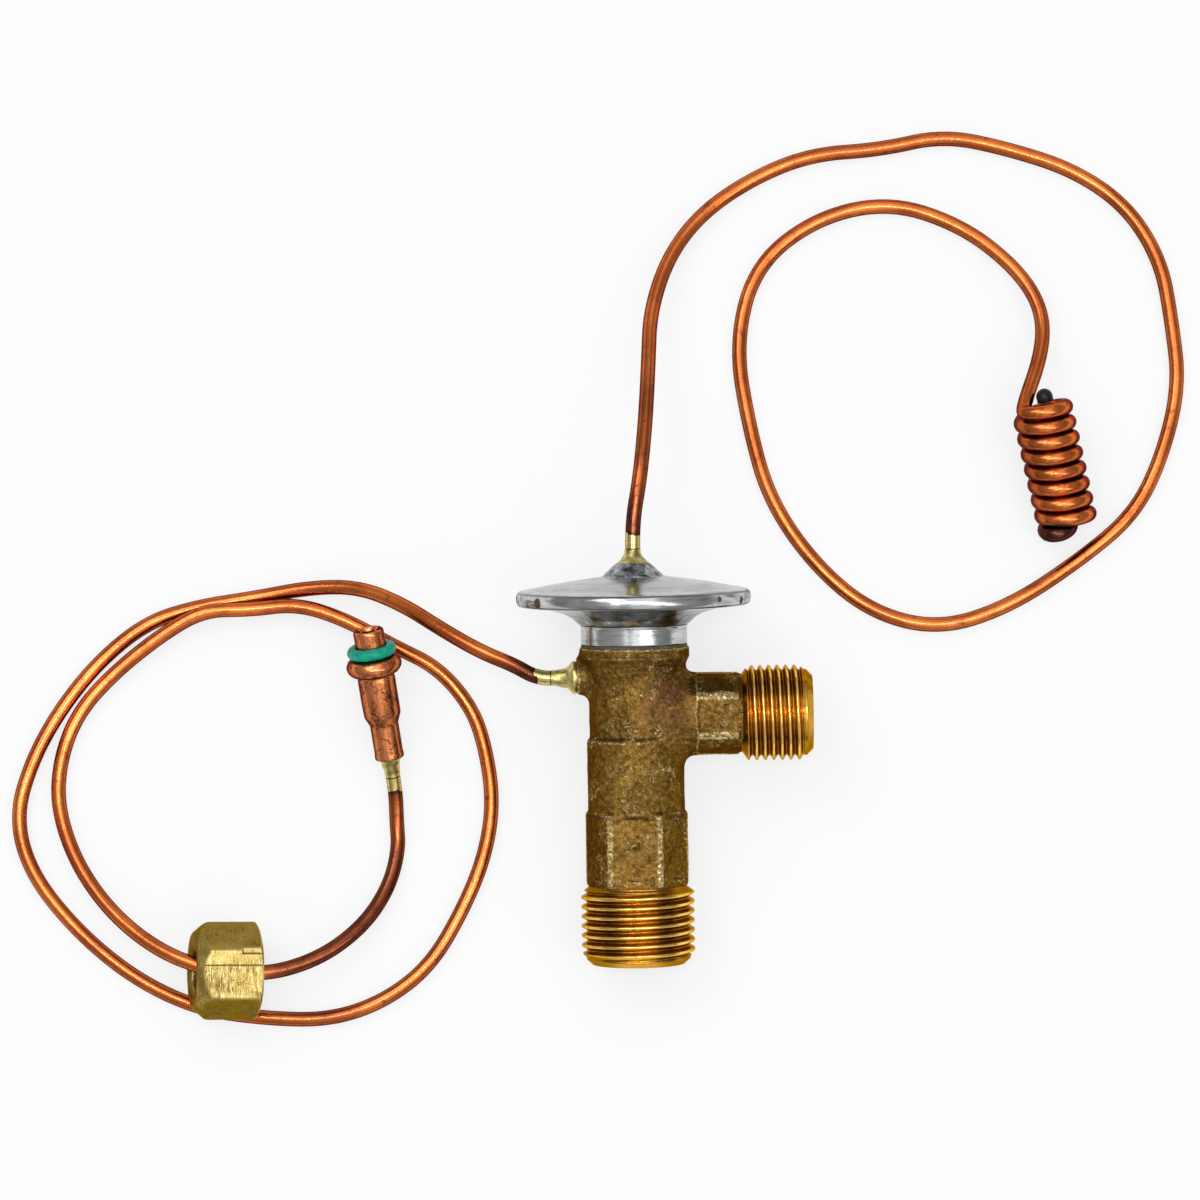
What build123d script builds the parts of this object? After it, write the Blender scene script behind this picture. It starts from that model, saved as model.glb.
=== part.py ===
from build123d import *
import os
from math import asin, atan2, cos, degrees, hypot, pi, radians, sin, sqrt, tan

os.makedirs("parts", exist_ok=True)

# Thermostatic expansion valve, angle body, externally equalised. Sizes in mm.
# The valve is drawn upright: its axis is local Z, with 0 at the outlet face and the power
# head on top. The inlet arm points along local +X and the front is local -Y. It is then laid
# on its back, so that it rests on the rim of the head and on the outlet thread, as it would
# come to rest on a bench. In the finished frame +X is the inlet, +Y the head and +Z is up.

# Outlet end and barrel
OUTLET_THREAD_R = 9.42
OUTLET_THREAD_END = 12.8
OUTLET_LEAD_R = 8.65
OUTLET_LEAD = 1.1
OUTLET_CHAMFER = 0.9
UNDERCUT_R = 8.2
UNDERCUT_W = 0.9
HEX_FLATS = 15.0
HEX_CORNER_R = 8.6
HEX_TURN = -3.0
HEX_TOP = 25.2
LOWER_BARREL_R = 8.05
LOWER_BARREL_TOP = 37.4
BARREL_STEP = 0.4
UPPER_BARREL_R = 7.6
FLANGE_R = 9.1
FLANGE_H = 2.2
FLANGE_TOP = 52.7
FLANGE_BLEND = 2.6
FORGED_BLEND = 0.9
NECK_R = 7.2
NECK_H = 4.6

# Inlet arm
ARM_Z = 41.4
ARM_ROOT_R = 6.7
ARM_ROOT_END = 10.2
ARM_HEX_FLATS = 12.2
ARM_HEX_CORNER_R = 6.95
ARM_HEX_END = 17.2
ARM_UNDERCUT_R = 6.5
ARM_THREAD_START = 17.8
INLET_THREAD_R = 7.9
INLET_THREAD_END = 28.0
INLET_LEAD_R = 7.15
INLET_CHAMFER = 1.0
ARM_REACH = 29.4

# Equaliser boss
BOSS_DROP = 5.05
BOSS_Z = FLANGE_TOP - BOSS_DROP
BOSS_R = 2.85
BOSS_REACH = 9.5

# Bores
OUTLET_BORE_R = 5.6
OUTLET_BORE_TOP = 28.3
SEAT_BORE_R = 4.2
SEAT_H = 4.0
CHAMBER_R = 5.0
CHAMBER_DROP = 6.8
CHAMBER_TOP = FLANGE_TOP - CHAMBER_DROP
INLET_BORE_R = 4.2
PIN_R = 1.2
PIN_CLEARANCE = 0.04
SEAL_POCKET_R = 2.6
SEAL_H = 1.5
RETAINER_H = 0.6
HEAD_BORE_R = 5.6
HEAD_BORE_DEPTH = 0.9
HEAD_BORE_FLOOR = FLANGE_TOP - HEAD_BORE_DEPTH
EQUALISER_BORE_R = 0.9
EQUALISER_DROP_X = 4.2
EQUALISER_DROP_R = 0.7

# Seat, ball and spring
ORIFICE_R = 1.7
SEAT_GAP = 0.05
BALL_R = 2.38
PIN_TIP_R = 0.8
PIN_TIP_L = 6.0
CARRIER_RIM_H = 0.8
CARRIER_R = 3.1
CARRIER_FLANGE_R = 4.7
CARRIER_FLANGE_H = 1.1
CARRIER_STEM_R = 2.3
CARRIER_STEM_L = 4.0
SPRING_R = 3.5
SPRING_WIRE_R = 0.55
SPRING_TURNS = 6
SPRING_L = 12.6
NUT_H = 4.0
NUT_CLEARANCE = 0.04
NUT_KEY_FLATS = 5.0
STROKE = 0.5

# Power head
GASKET_H = 0.4
COLLAR_R = 8.8
COLLAR_H = 3.2
COLLAR_TOP = FLANGE_TOP + GASKET_H + COLLAR_H
CUP_WALL = 0.8
RIM_R = 19.5
RIM_H = 2.7
RIM_RISE = 3.2
RIM_BOTTOM = COLLAR_TOP + RIM_RISE
DIAPHRAGM_H = 0.2
DIAPHRAGM_BEAD = 0.35
DIAPHRAGM_FIRST_R = 12.2
DIAPHRAGM_WAVE = 1.0
CUP_LAND = 2.1
THRUST_R = 10.5
THRUST_H = 0.9
THRUST_HUB_R = 4.4
THRUST_HUB_H = 2.0
THRUST_GAP = 0.05
PIN_SETBACK = 0.6
CUP_CENTRE_R = 5.3
CUP_RISE = 2.1
CONE_BASE_R = 5.3
CONE_H = 2.3
CONE_TOP_R = 2.6
HEAD_BRAZE_H = 2.2

# Tubes and their braze joints
TUBE_R = 1.25
BRAZE_R = 1.32
EQ_BRAZE_L = 4.3

# Inlet strainer
STRAINER_WALL = 0.35
STRAINER_FLANGE = 1.2
STRAINER_L = 13.0
STRAINER_END_R = 2.6
STRAINER_SETBACK = 1.2
STRAINER_SLOTS = 6
STRAINER_SLOT_W = 1.0

# Sensing coil
COIL_R = 3.92
COIL_PITCH = 2.69
COIL_FRONT_TURNS = 8
COIL_START = 135.0
COIL_ENTRY = 3.0
COIL_CLOSING_R = 2.3
COIL_TAIL_X = 0.85
COIL_TAIL_BEND_R = 1.6
COIL_TAIL_REACH = 1.6
COIL_TOP = Vector(64.0, 58.4, 11.82)
COIL_BOTTOM = Vector(68.1, 40.9, 5.32)
TIP_R = 1.4
TIP_L = 2.2

# Union nut on the equaliser tube
UNION_FLATS = 14.3
UNION_CORNER_R = 8.25
UNION_L = 11.0
UNION_SHOULDER_R = 6.3
UNION_SHOULDER_L = 2.3
UNION_CHAMFER = 0.6
UNION_FACE_R = 7.1
UNION_HOLE_R = 3.4
UNION_HOLE_L = 3.2
UNION_THREAD_R = 4.87
UNION_TURN = 8.4
UNION_LEFT = Vector(-79.1, -33.6, 9.82)
UNION_RIGHT_Z = 7.42

# End fitting of the equaliser tube
NOSE_R = 2.6
NOSE_BORE_R = 1.65
NOSE_BORE_L = 4.5
NOSE_L = 4.7
RING_GROOVE_R = 2.3
RING_GROOVE_START = 2.6
RING_R = 3.2
RING_SECTION_R = 0.95
RING_Z = 3.7
BEAD_R = 4.7
BEAD_H = 3.0
SLEEVE_R = 3.15
SLEEVE_L = 7.2
TAPER_L = 1.6
SHANK_R = 2.4
SHANK_L = 6.1
FIT_BRAZE_L = 2.6
FITTING_NOSE = Vector(-49.2, 22.6, 13.4)
FITTING_BACK = Vector(-45.1, -4.8, 2.4)

# The lay: the lowest points of the rim and of the thread both touch the bench
RIM_ROUND = RIM_H / 2
rim_mid = RIM_BOTTOM + RIM_ROUND
crest_start = OUTLET_LEAD + OUTLET_THREAD_R - OUTLET_LEAD_R
rest_span = rim_mid - crest_start
rest_drop = RIM_R - RIM_ROUND - OUTLET_THREAD_R
LEAN = degrees(asin(RIM_ROUND / hypot(rest_span, rest_drop)) + atan2(rest_drop, rest_span))
head_end = RIM_BOTTOM + RIM_H + CUP_RISE + CONE_H + HEAD_BRAZE_H
axis_h = OUTLET_THREAD_R * cos(radians(LEAN)) - crest_start * sin(radians(LEAN))
face_r = OUTLET_LEAD_R - OUTLET_CHAMFER
head_y = head_end * cos(radians(LEAN)) + BRAZE_R * sin(radians(LEAN))
axis_y = -(head_y - face_r * sin(radians(LEAN))) / 2
axis_x = -(ARM_REACH - RIM_R) / 2
LAY = Pos(axis_x, axis_y, axis_h) * Rot(LEAN - 90, 0, 0)


def laid(x, y, z):
    """A point of the upright valve, in the finished frame."""
    return (LAY * Pos(x, y, z)).position


def turned(*outline):
    """A solid of revolution about local Z from (radius, height) points."""
    points = [(r, 0, h) for r, h in outline]
    return revolve(make_face(Polyline(*points, close=True)), Axis.Z, 360)


def rod(radius, low, high):
    return Pos(0, 0, low) * Cylinder(radius, high - low, align=(Align.CENTER, Align.CENTER, Align.MIN))


def hex_bar(flats, low, high, turn=0.0):
    """A hexagonal bar with one flat facing local -Y before it is turned."""
    face = Rot(0, 0, turn) * RegularPolygon(flats / 2, 6, major_radius=False)
    return Pos(0, 0, low) * extrude(face, high - low)


def along_x(shape, height, side=1):
    """Turns a shape drawn along Z to point along +X or -X, at a height on the barrel."""
    return Pos(0, 0, height) * Rot(0, 90 * side, 0) * shape


def barrel():
    neck_top = FLANGE_TOP + NECK_H
    flange_low = FLANGE_TOP - FLANGE_H
    core_r = HEX_FLATS / 2 - 0.2
    hex_low = OUTLET_THREAD_END + UNDERCUT_W
    lower = [
        (0, 0),
        (face_r, 0),
        (OUTLET_LEAD_R, OUTLET_CHAMFER),
        (OUTLET_LEAD_R, OUTLET_LEAD),
        (OUTLET_THREAD_R, crest_start),
        (OUTLET_THREAD_R, OUTLET_THREAD_END),
        (UNDERCUT_R, OUTLET_THREAD_END + UNDERCUT_W / 2),
        (core_r, hex_low),
        (core_r, HEX_TOP),
        (LOWER_BARREL_R, HEX_TOP),
        (LOWER_BARREL_R, LOWER_BARREL_TOP),
        (UPPER_BARREL_R, LOWER_BARREL_TOP + BARREL_STEP),
        (UPPER_BARREL_R, flange_low - FLANGE_BLEND),
    ]
    upper = [
        (FLANGE_R, flange_low),
        (FLANGE_R, FLANGE_TOP - 0.3),
        (FLANGE_R - 0.3, FLANGE_TOP),
        (NECK_R, FLANGE_TOP),
        (NECK_R, neck_top),
        (0, neck_top),
        (0, 0),
    ]
    start, end = lower[-1], upper[0]
    bow = 0.293 * FLANGE_BLEND
    middle = (start[0] + bow, 0, end[1] - bow)
    outline = Polyline(*[(r, 0, h) for r, h in lower]).edges()
    outline += ThreePointArc((start[0], 0, start[1]), middle, (end[0], 0, end[1])).edges()
    outline += Polyline(*[(r, 0, h) for r, h in upper]).edges()
    return revolve(make_face(outline), Axis.Z, 360)


def barrel_hex():
    hex_low = OUTLET_THREAD_END + UNDERCUT_W / 2
    limit = turned(
        (0, hex_low),
        (UNDERCUT_R - 0.4, hex_low),
        (HEX_CORNER_R, hex_low + 1.4),
        (HEX_CORNER_R, HEX_TOP),
        (0, HEX_TOP),
    )
    return hex_bar(HEX_FLATS, hex_low, HEX_TOP, HEX_TURN) & limit


def branch(radius, reach, flare):
    """A round branch that flares where it leaves the barrel."""
    foot = min(UPPER_BARREL_R + FORGED_BLEND, reach - 0.1)
    return turned(
        (0, 0),
        (radius + flare, 0),
        (radius + flare, foot - 2.7 * FORGED_BLEND),
        (radius + 0.35 * flare, foot - 1.4 * FORGED_BLEND),
        (radius, foot),
        (radius, reach),
        (0, reach),
    )


def arm_outer():
    """Hexagon and threaded end of the inlet arm."""
    limit = turned(
        (0, ARM_ROOT_END - 1.2),
        (ARM_ROOT_R - 0.6, ARM_ROOT_END - 1.2),
        (ARM_HEX_CORNER_R, ARM_ROOT_END - 0.4),
        (ARM_HEX_CORNER_R, ARM_HEX_END - 0.4),
        (ARM_UNDERCUT_R, ARM_HEX_END),
        (0, ARM_HEX_END),
    )
    hexagon = hex_bar(ARM_HEX_FLATS, ARM_ROOT_END - 1.2, ARM_HEX_END) & limit
    lead = ARM_REACH - INLET_CHAMFER / 2
    end = turned(
        (0, ARM_HEX_END - 0.5),
        (ARM_UNDERCUT_R - 0.5, ARM_HEX_END - 0.5),
        (ARM_UNDERCUT_R - 0.5, ARM_HEX_END),
        (ARM_UNDERCUT_R, ARM_THREAD_START - 0.1),
        (INLET_THREAD_R, ARM_THREAD_START + 0.6),
        (INLET_THREAD_R, INLET_THREAD_END - 0.7),
        (INLET_LEAD_R, INLET_THREAD_END),
        (INLET_LEAD_R, lead),
        (INLET_LEAD_R - INLET_CHAMFER, ARM_REACH),
        (0, ARM_REACH),
    )
    return along_x(hexagon + end, ARM_Z)


def body_bores():
    seat_top = OUTLET_BORE_TOP + SEAT_H
    seal_low = HEAD_BORE_FLOOR - RETAINER_H - SEAL_H
    pin_bore_r = PIN_R + PIN_CLEARANCE
    bores = [
        rod(OUTLET_BORE_R, -1, OUTLET_BORE_TOP),
        rod(SEAT_BORE_R, OUTLET_BORE_TOP, seat_top),
        rod(CHAMBER_R, seat_top, CHAMBER_TOP),
        rod(pin_bore_r, CHAMBER_TOP, HEAD_BORE_FLOOR),
        rod(SEAL_POCKET_R, seal_low, HEAD_BORE_FLOOR),
        rod(HEAD_BORE_R, HEAD_BORE_FLOOR, FLANGE_TOP + NECK_H + 1),
        along_x(rod(INLET_BORE_R, 0, ARM_REACH + 1), ARM_Z),
        along_x(rod(EQUALISER_BORE_R, EQUALISER_DROP_X - EQUALISER_DROP_R, BOSS_REACH + 1), BOSS_Z, -1),
        Pos(-EQUALISER_DROP_X, 0, 0) * rod(EQUALISER_DROP_R, BOSS_Z, HEAD_BORE_FLOOR + 0.5),
    ]
    mouth = turned((0, -0.1), (OUTLET_BORE_R + 0.7, -0.1), (OUTLET_BORE_R, 0.6), (0, 0.6))
    return bores + [mouth]


def valve_body():
    solid = barrel() + barrel_hex() + arm_outer()
    solid += along_x(branch(ARM_ROOT_R, ARM_ROOT_END, 0.5), ARM_Z)
    solid += along_x(branch(BOSS_R, BOSS_REACH, 0.7), BOSS_Z, -1)
    for bore in body_bores():
        solid -= bore
    return solid


def valve_seat():
    low, high = OUTLET_BORE_TOP, OUTLET_BORE_TOP + SEAT_H
    return turned(
        (ORIFICE_R, low),
        (SEAT_BORE_R, low),
        (SEAT_BORE_R, high),
        (ORIFICE_R + 1.2, high),
        (ORIFICE_R, high - 1.2),
    )


ball_z = OUTLET_BORE_TOP - sqrt(BALL_R**2 - ORIFICE_R**2) - SEAT_GAP
carrier_top = ball_z - CARRIER_RIM_H
flange_low = ball_z - BALL_R - 0.9
spring_low = flange_low - SPRING_L
nut_top = spring_low
rim_top = RIM_BOTTOM + RIM_H
diaphragm_z = RIM_BOTTOM + CUP_WALL
thrust_top = diaphragm_z - THRUST_GAP
pin_top = thrust_top - PIN_SETBACK


def valve_ball():
    return Pos(0, 0, ball_z) * Sphere(BALL_R)


def ball_carrier():
    """Cup that carries the ball, with a flange for the spring and a guide stem."""
    flange_top = flange_low + CARRIER_FLANGE_H
    solid = turned(
        (0, flange_low - CARRIER_STEM_L),
        (CARRIER_STEM_R - 0.4, flange_low - CARRIER_STEM_L),
        (CARRIER_STEM_R, flange_low - CARRIER_STEM_L + 0.4),
        (CARRIER_STEM_R, flange_low),
        (CARRIER_FLANGE_R, flange_low),
        (CARRIER_FLANGE_R, flange_top),
        (CARRIER_R, flange_top),
        (CARRIER_R, carrier_top),
        (0, carrier_top),
    )
    return solid - Pos(0, 0, ball_z) * Sphere(BALL_R)


def superheat_spring():
    """Closed and ground compression spring between the ball carrier and the adjusting nut."""
    pitch = (SPRING_L - 2 * SPRING_WIRE_R) / SPRING_TURNS
    path = Helix(pitch, pitch * SPRING_TURNS, SPRING_R)
    section = Plane(origin=path @ 0, z_dir=path % 0) * Circle(SPRING_WIRE_R)
    return Pos(0, 0, spring_low + SPRING_WIRE_R) * sweep(section, path=path)


def adjusting_nut():
    nut = turned(
        (0, nut_top - NUT_H),
        (OUTLET_BORE_R - NUT_CLEARANCE - 0.4, nut_top - NUT_H),
        (OUTLET_BORE_R - NUT_CLEARANCE, nut_top - NUT_H + 0.4),
        (OUTLET_BORE_R - NUT_CLEARANCE, nut_top),
        (0, nut_top),
    )
    return nut - hex_bar(NUT_KEY_FLATS, nut_top - NUT_H - 1, nut_top + 1)


def push_pin():
    """Pin between the thrust plate and the ball, thinner where it passes the orifice."""
    low = ball_z + BALL_R
    neck = low + PIN_TIP_L
    return turned(
        (0, low),
        (PIN_TIP_R, low),
        (PIN_TIP_R, neck),
        (PIN_R, neck + 0.5),
        (PIN_R, pin_top),
        (0, pin_top),
    )


def pin_seal():
    low = HEAD_BORE_FLOOR - RETAINER_H - SEAL_H
    inner = PIN_R + PIN_CLEARANCE
    return rod(SEAL_POCKET_R, low, low + SEAL_H) - rod(inner, low - 1, low + SEAL_H + 1)


def seal_retainer():
    low = HEAD_BORE_FLOOR - RETAINER_H
    washer = rod(SEAL_POCKET_R, low, HEAD_BORE_FLOOR)
    return washer - rod(PIN_R + 0.2, low - 1, HEAD_BORE_FLOOR + 1)


def head_gasket():
    return rod(COLLAR_R, FLANGE_TOP, FLANGE_TOP + GASKET_H) - rod(NECK_R, FLANGE_TOP - 1, COLLAR_TOP)


def head_collar():
    low = FLANGE_TOP + GASKET_H
    ring = turned(
        (NECK_R, low),
        (COLLAR_R - 0.2, low),
        (COLLAR_R, low + 0.2),
        (COLLAR_R, COLLAR_TOP - 0.3),
        (COLLAR_R - 0.3, COLLAR_TOP),
        (NECK_R, COLLAR_TOP),
    )
    return ring


# Underside of the lower cup, from the collar to the rim: (radius, height over the collar)
CUP_UNDERSIDE = [(9.0, 0.2), (10.2, 1.2), (11.6, 2.0), (14.0, 2.7), (17.4, 3.3)]


def lower_cup():
    """Pressed cup that carries the diaphragm, open in the middle round the neck."""
    lip_r = RIM_R - CUP_WALL
    outer = [(NECK_R, COLLAR_TOP), (COLLAR_R - 0.3, COLLAR_TOP)]
    outer += [(r, COLLAR_TOP + h) for r, h in CUP_UNDERSIDE]
    outer += [(lip_r, RIM_BOTTOM + 0.0)]
    inner = [(lip_r, diaphragm_z), (lip_r - CUP_LAND, diaphragm_z)]
    inner += [(r - 0.55, COLLAR_TOP + h + CUP_WALL * 0.85) for r, h in reversed(CUP_UNDERSIDE[:-1])]
    inner += [(NECK_R, COLLAR_TOP + CUP_WALL)]
    return turned(*outer, *inner)


def diaphragm():
    """Thin corrugated disc clamped between the two cups."""
    lip_r = RIM_R - CUP_WALL
    wave = [(DIAPHRAGM_FIRST_R + k * DIAPHRAGM_WAVE, DIAPHRAGM_BEAD * (k % 2)) for k in range(5)]
    low = [(0, 0), *wave, (lip_r, 0)]
    outline = [(r, diaphragm_z + h) for r, h in low]
    outline += [(r, diaphragm_z + h + DIAPHRAGM_H) for r, h in reversed(low)]
    return turned(*outline)


def upper_cup():
    """Domed cover whose edge is rolled round the diaphragm and the lower cup."""
    lip_r = RIM_R - CUP_WALL
    seat_z = diaphragm_z + DIAPHRAGM_H
    crown = rim_top + CUP_RISE
    outer = [
        (RIM_R - 0.75, RIM_BOTTOM - 0.0),
        (RIM_R - 0.2, RIM_BOTTOM + 0.35),
        (RIM_R, rim_mid),
        (RIM_R - 0.35, rim_top - 0.3),
        (RIM_R - 1.1, rim_top),
        (17.3, rim_top + 0.1),
        (9.7, rim_top + 1.5),
        (CUP_CENTRE_R + 1.0, crown - 0.2),
        (CUP_CENTRE_R, crown),
        (TUBE_R, crown),
    ]
    inner = [
        (TUBE_R, crown - CUP_WALL),
        (9.6, rim_top + 1.5 - CUP_WALL),
        (16.8, rim_top + 0.1 - CUP_WALL),
        (17.2, seat_z),
        (lip_r, seat_z),
        (lip_r, RIM_BOTTOM),
    ]
    return turned(*outer, *inner)


cone_low = rim_top + CUP_RISE
cone_top = cone_low + CONE_H


def capillary_boss():
    """Steel cone on the cover, through which the capillary enters the head."""
    return turned(
        (TUBE_R, cone_low),
        (CONE_BASE_R, cone_low),
        (CONE_BASE_R - 0.4 * (CONE_BASE_R - CONE_TOP_R), cone_low + 0.45 * CONE_H),
        (CONE_BASE_R - 0.7 * (CONE_BASE_R - CONE_TOP_R), cone_low + 0.8 * CONE_H),
        (CONE_TOP_R, cone_top),
        (TUBE_R, cone_top),
    )


def fillet_ring(foot_r, foot, reach):
    """Hollow cone of braze metal that runs out onto a tube."""
    fall = foot_r - BRAZE_R
    return turned(
        (0, foot),
        (foot_r, foot),
        (BRAZE_R + 0.5 * fall, foot + 0.32 * reach),
        (BRAZE_R + 0.18 * fall, foot + 0.6 * reach),
        (BRAZE_R, foot + reach),
        (0, foot + reach),
    )


def capillary_braze():
    return fillet_ring(CONE_TOP_R, cone_top, HEAD_BRAZE_H)


def thrust_plate():
    """Plate under the diaphragm, with a socket for the pin in its hub."""
    hub_low = pin_top - THRUST_HUB_H
    plate = turned(
        (0, hub_low),
        (THRUST_HUB_R - 0.3, hub_low),
        (THRUST_HUB_R, hub_low + 0.3),
        (THRUST_HUB_R, thrust_top - THRUST_H),
        (THRUST_R - 0.3, thrust_top - THRUST_H),
        (THRUST_R, thrust_top - THRUST_H / 2),
        (THRUST_R - 0.3, thrust_top),
        (0, thrust_top),
    )
    return plate - rod(PIN_R, hub_low - 1, pin_top)


def inlet_strainer():
    """Cup-shaped screen in the inlet, with a flange ring that is pushed into the bore."""
    mouth = ARM_REACH - STRAINER_SETBACK
    back = mouth - STRAINER_L
    screen_r = INLET_BORE_R - STRAINER_WALL
    inner_r = screen_r - STRAINER_WALL
    cup = turned(
        (0, back),
        (STRAINER_END_R, back),
        (screen_r, back + 2.5),
        (screen_r, mouth - STRAINER_FLANGE),
        (INLET_BORE_R, mouth - STRAINER_FLANGE),
        (INLET_BORE_R, mouth),
        (inner_r, mouth),
        (inner_r, back + 2.6),
        (STRAINER_END_R - STRAINER_WALL, back + STRAINER_WALL),
        (0, back + STRAINER_WALL),
    )
    slot_l = STRAINER_L - STRAINER_FLANGE - 4.5
    slot = Pos(INLET_BORE_R, 0, back + 3.2 + slot_l / 2) * Box(INLET_BORE_R * 1.2, STRAINER_SLOT_W, slot_l)
    for copy in range(STRAINER_SLOTS):
        cup -= Rot(0, 0, copy * 360 / STRAINER_SLOTS) * slot
    return along_x(cup, ARM_Z)


def equaliser_braze():
    """Braze fillet between the boss and the equaliser tube."""
    return along_x(fillet_ring(BOSS_R, BOSS_REACH, EQ_BRAZE_L), BOSS_Z, -1)


# Routes of the two tubes in the finished frame, chosen by hand
capillary_exit = laid(0, 0, cone_top + HEAD_BRAZE_H)
CAPILLARY_ROUTE = [
    capillary_exit,
    laid(0, 0, cone_top + HEAD_BRAZE_H + 4.6),
    Vector(-3.6, 45.9, 22.1),
    Vector(-2.5, 55.9, 19.2),
    Vector(-1.8, 66.6, 13.4),
    Vector(-1.3, 76.5, 7.8),
    Vector(2.0, 86.6, 3.9),
    Vector(8.0, 94.5, 1.8),
    Vector(17.1, 100.5, 1.25),
    Vector(26.8, 104.2, 1.25),
    Vector(38.3, 104.8, 1.25),
    Vector(49.0, 107.1, 1.25),
    Vector(59.6, 104.8, 1.25),
    Vector(71.3, 100.8, 1.25),
    Vector(80.3, 94.2, 1.25),
    Vector(85.7, 84.7, 1.25),
    Vector(87.2, 74.4, 1.25),
    Vector(88.2, 63.5, 1.25),
    Vector(85.1, 51.6, 1.25),
    Vector(80.1, 41.6, 1.25),
    Vector(70.6, 33.9, 1.25),
    Vector(58.6, 26.2, 1.25),
    Vector(46.7, 22.5, 1.25),
    Vector(35.3, 25.5, 1.25),
    Vector(25.9, 33.6, 1.25),
    Vector(18.4, 44.9, 1.25),
    Vector(15.2, 57.3, 1.25),
    Vector(13.1, 71.7, 1.25),
    Vector(16.7, 85.1, 1.25),
    Vector(27.2, 93.2, 1.25),
    Vector(39.9, 95.8, 1.25),
    Vector(52.0, 91.4, 1.6),
    Vector(60.8, 83.9, 2.8),
    Vector(65.0, 76.7, 4.2),
    Vector(64.9, 69.1, 6.1),
]

equaliser_exit = laid(-BOSS_REACH - EQ_BRAZE_L, 0, BOSS_Z)
EQUALISER_ROUTE = [
    equaliser_exit,
    laid(-BOSS_REACH - EQ_BRAZE_L - 2.4, 0, BOSS_Z),
    Vector(-24.9, 15.9, 16.7),
    Vector(-30.2, 18.2, 15.6),
    Vector(-36.6, 22.2, 13.2),
    Vector(-43.7, 27.3, 9.2),
    Vector(-51.1, 30.7, 5.6),
    Vector(-59.5, 31.0, 3.0),
    Vector(-68.8, 29.5, 1.7),
    Vector(-78.2, 28.3, 1.25),
    Vector(-86.8, 25.8, 1.25),
    Vector(-94.8, 19.5, 1.4),
    Vector(-101.6, 11.2, 1.6),
    Vector(-106.5, 2.4, 1.6),
    Vector(-109.2, -7.0, 1.6),
    Vector(-106.6, -16.6, 1.6),
    Vector(-98.7, -26.5, 1.6),
    Vector(-89.1, -34.5, 1.4),
    Vector(-78.5, -39.6, 1.25),
    Vector(-67.4, -41.3, 1.25),
    Vector(-56.8, -41.7, 1.25),
    Vector(-47.7, -38.8, 1.25),
    Vector(-39.9, -33.0, 1.25),
    Vector(-34.4, -23.9, 1.25),
    Vector(-30.5, -14.9, 1.25),
    Vector(-28.9, -5.7, 1.25),
    Vector(-30.1, 3.6, 1.25),
    Vector(-32.4, 10.6, 1.3),
    Vector(-38.0, 17.3, 1.8),
    Vector(-45.2, 20.8, 2.9),
    Vector(-53.5, 25.5, 3.6),
    Vector(-61.5, 28.2, 3.6),
    Vector(-69.4, 27.3, 3.6),
    Vector(-77.2, 27.4, 3.7),
    Vector(-84.4, 23.4, 2.8),
    Vector(-92.5, 17.2, 1.8),
    Vector(-98.6, 10.6, 1.6),
    Vector(-101.6, 3.0, 1.6),
    Vector(-102.2, -5.1, 1.6),
    Vector(-99.3, -14.3, 1.8),
    Vector(-93.8, -22.5, 3.3),
    Vector(-86.6, -28.9, 6.3),
    Vector(-78.6, -32.9, 9.1),
    Vector(-67.9, -34.5, 7.5),
    Vector(-58.5, -31.9, 5.8),
    Vector(-51.1, -26.5, 3.8),
    Vector(-46.7, -20.0, 2.1),
    Vector(-44.9, -13.4, 1.25),
    Vector(-45.2, -8.5, 1.5),
]


def arc_radii(points):
    """As large a radius at each corner of a route as its two runs allow."""
    radii = []
    for before, corner, after in zip(points, points[1:], points[2:]):
        run_in, run_out = corner - before, after - corner
        turn = radians(run_in.get_angle(run_out))
        radii.append(0.45 * min(run_in.length, run_out.length) / tan(turn / 2))
    return radii


def tube(points, name):
    radii = arc_radii(points)
    print(name, "arc radii", " ".join(f"{r:.1f}" for r in radii))
    path = FilletPolyline(*points, radius=radii)
    section = Plane(origin=path @ 0, z_dir=path % 0) * Circle(TUBE_R)
    solid = sweep(section, path=path)
    print(name, f"length {path.length:.1f} volume ratio {solid.volume / (pi * TUBE_R**2 * path.length):.4f}")
    return solid


coil_axis = (COIL_BOTTOM - COIL_TOP).normalized()
coil_side = Vector(-coil_axis.Y, coil_axis.X, 0).normalized()
coil_plane = Plane(origin=COIL_TOP, x_dir=coil_side, z_dir=coil_axis)
helix_turns = COIL_FRONT_TURNS - 1 + (COIL_START + 180) / 360
coil_lead = -COIL_PITCH * (COIL_START - 90) / 360


def coil_helix():
    helix = Helix(COIL_PITCH, COIL_PITCH * helix_turns, COIL_R, lefthand=True)
    return coil_plane.location * Pos(0, 0, coil_lead) * Rot(0, 0, COIL_START) * helix


def coil_entry():
    """Corner and start of the bend that leads the capillary into the first turn."""
    helix = coil_helix()
    corner = helix @ 0 - (helix % 0) * COIL_ENTRY
    come = (corner - CAPILLARY_ROUTE[-1]).normalized()
    return corner, corner - come * COIL_ENTRY, helix


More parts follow.
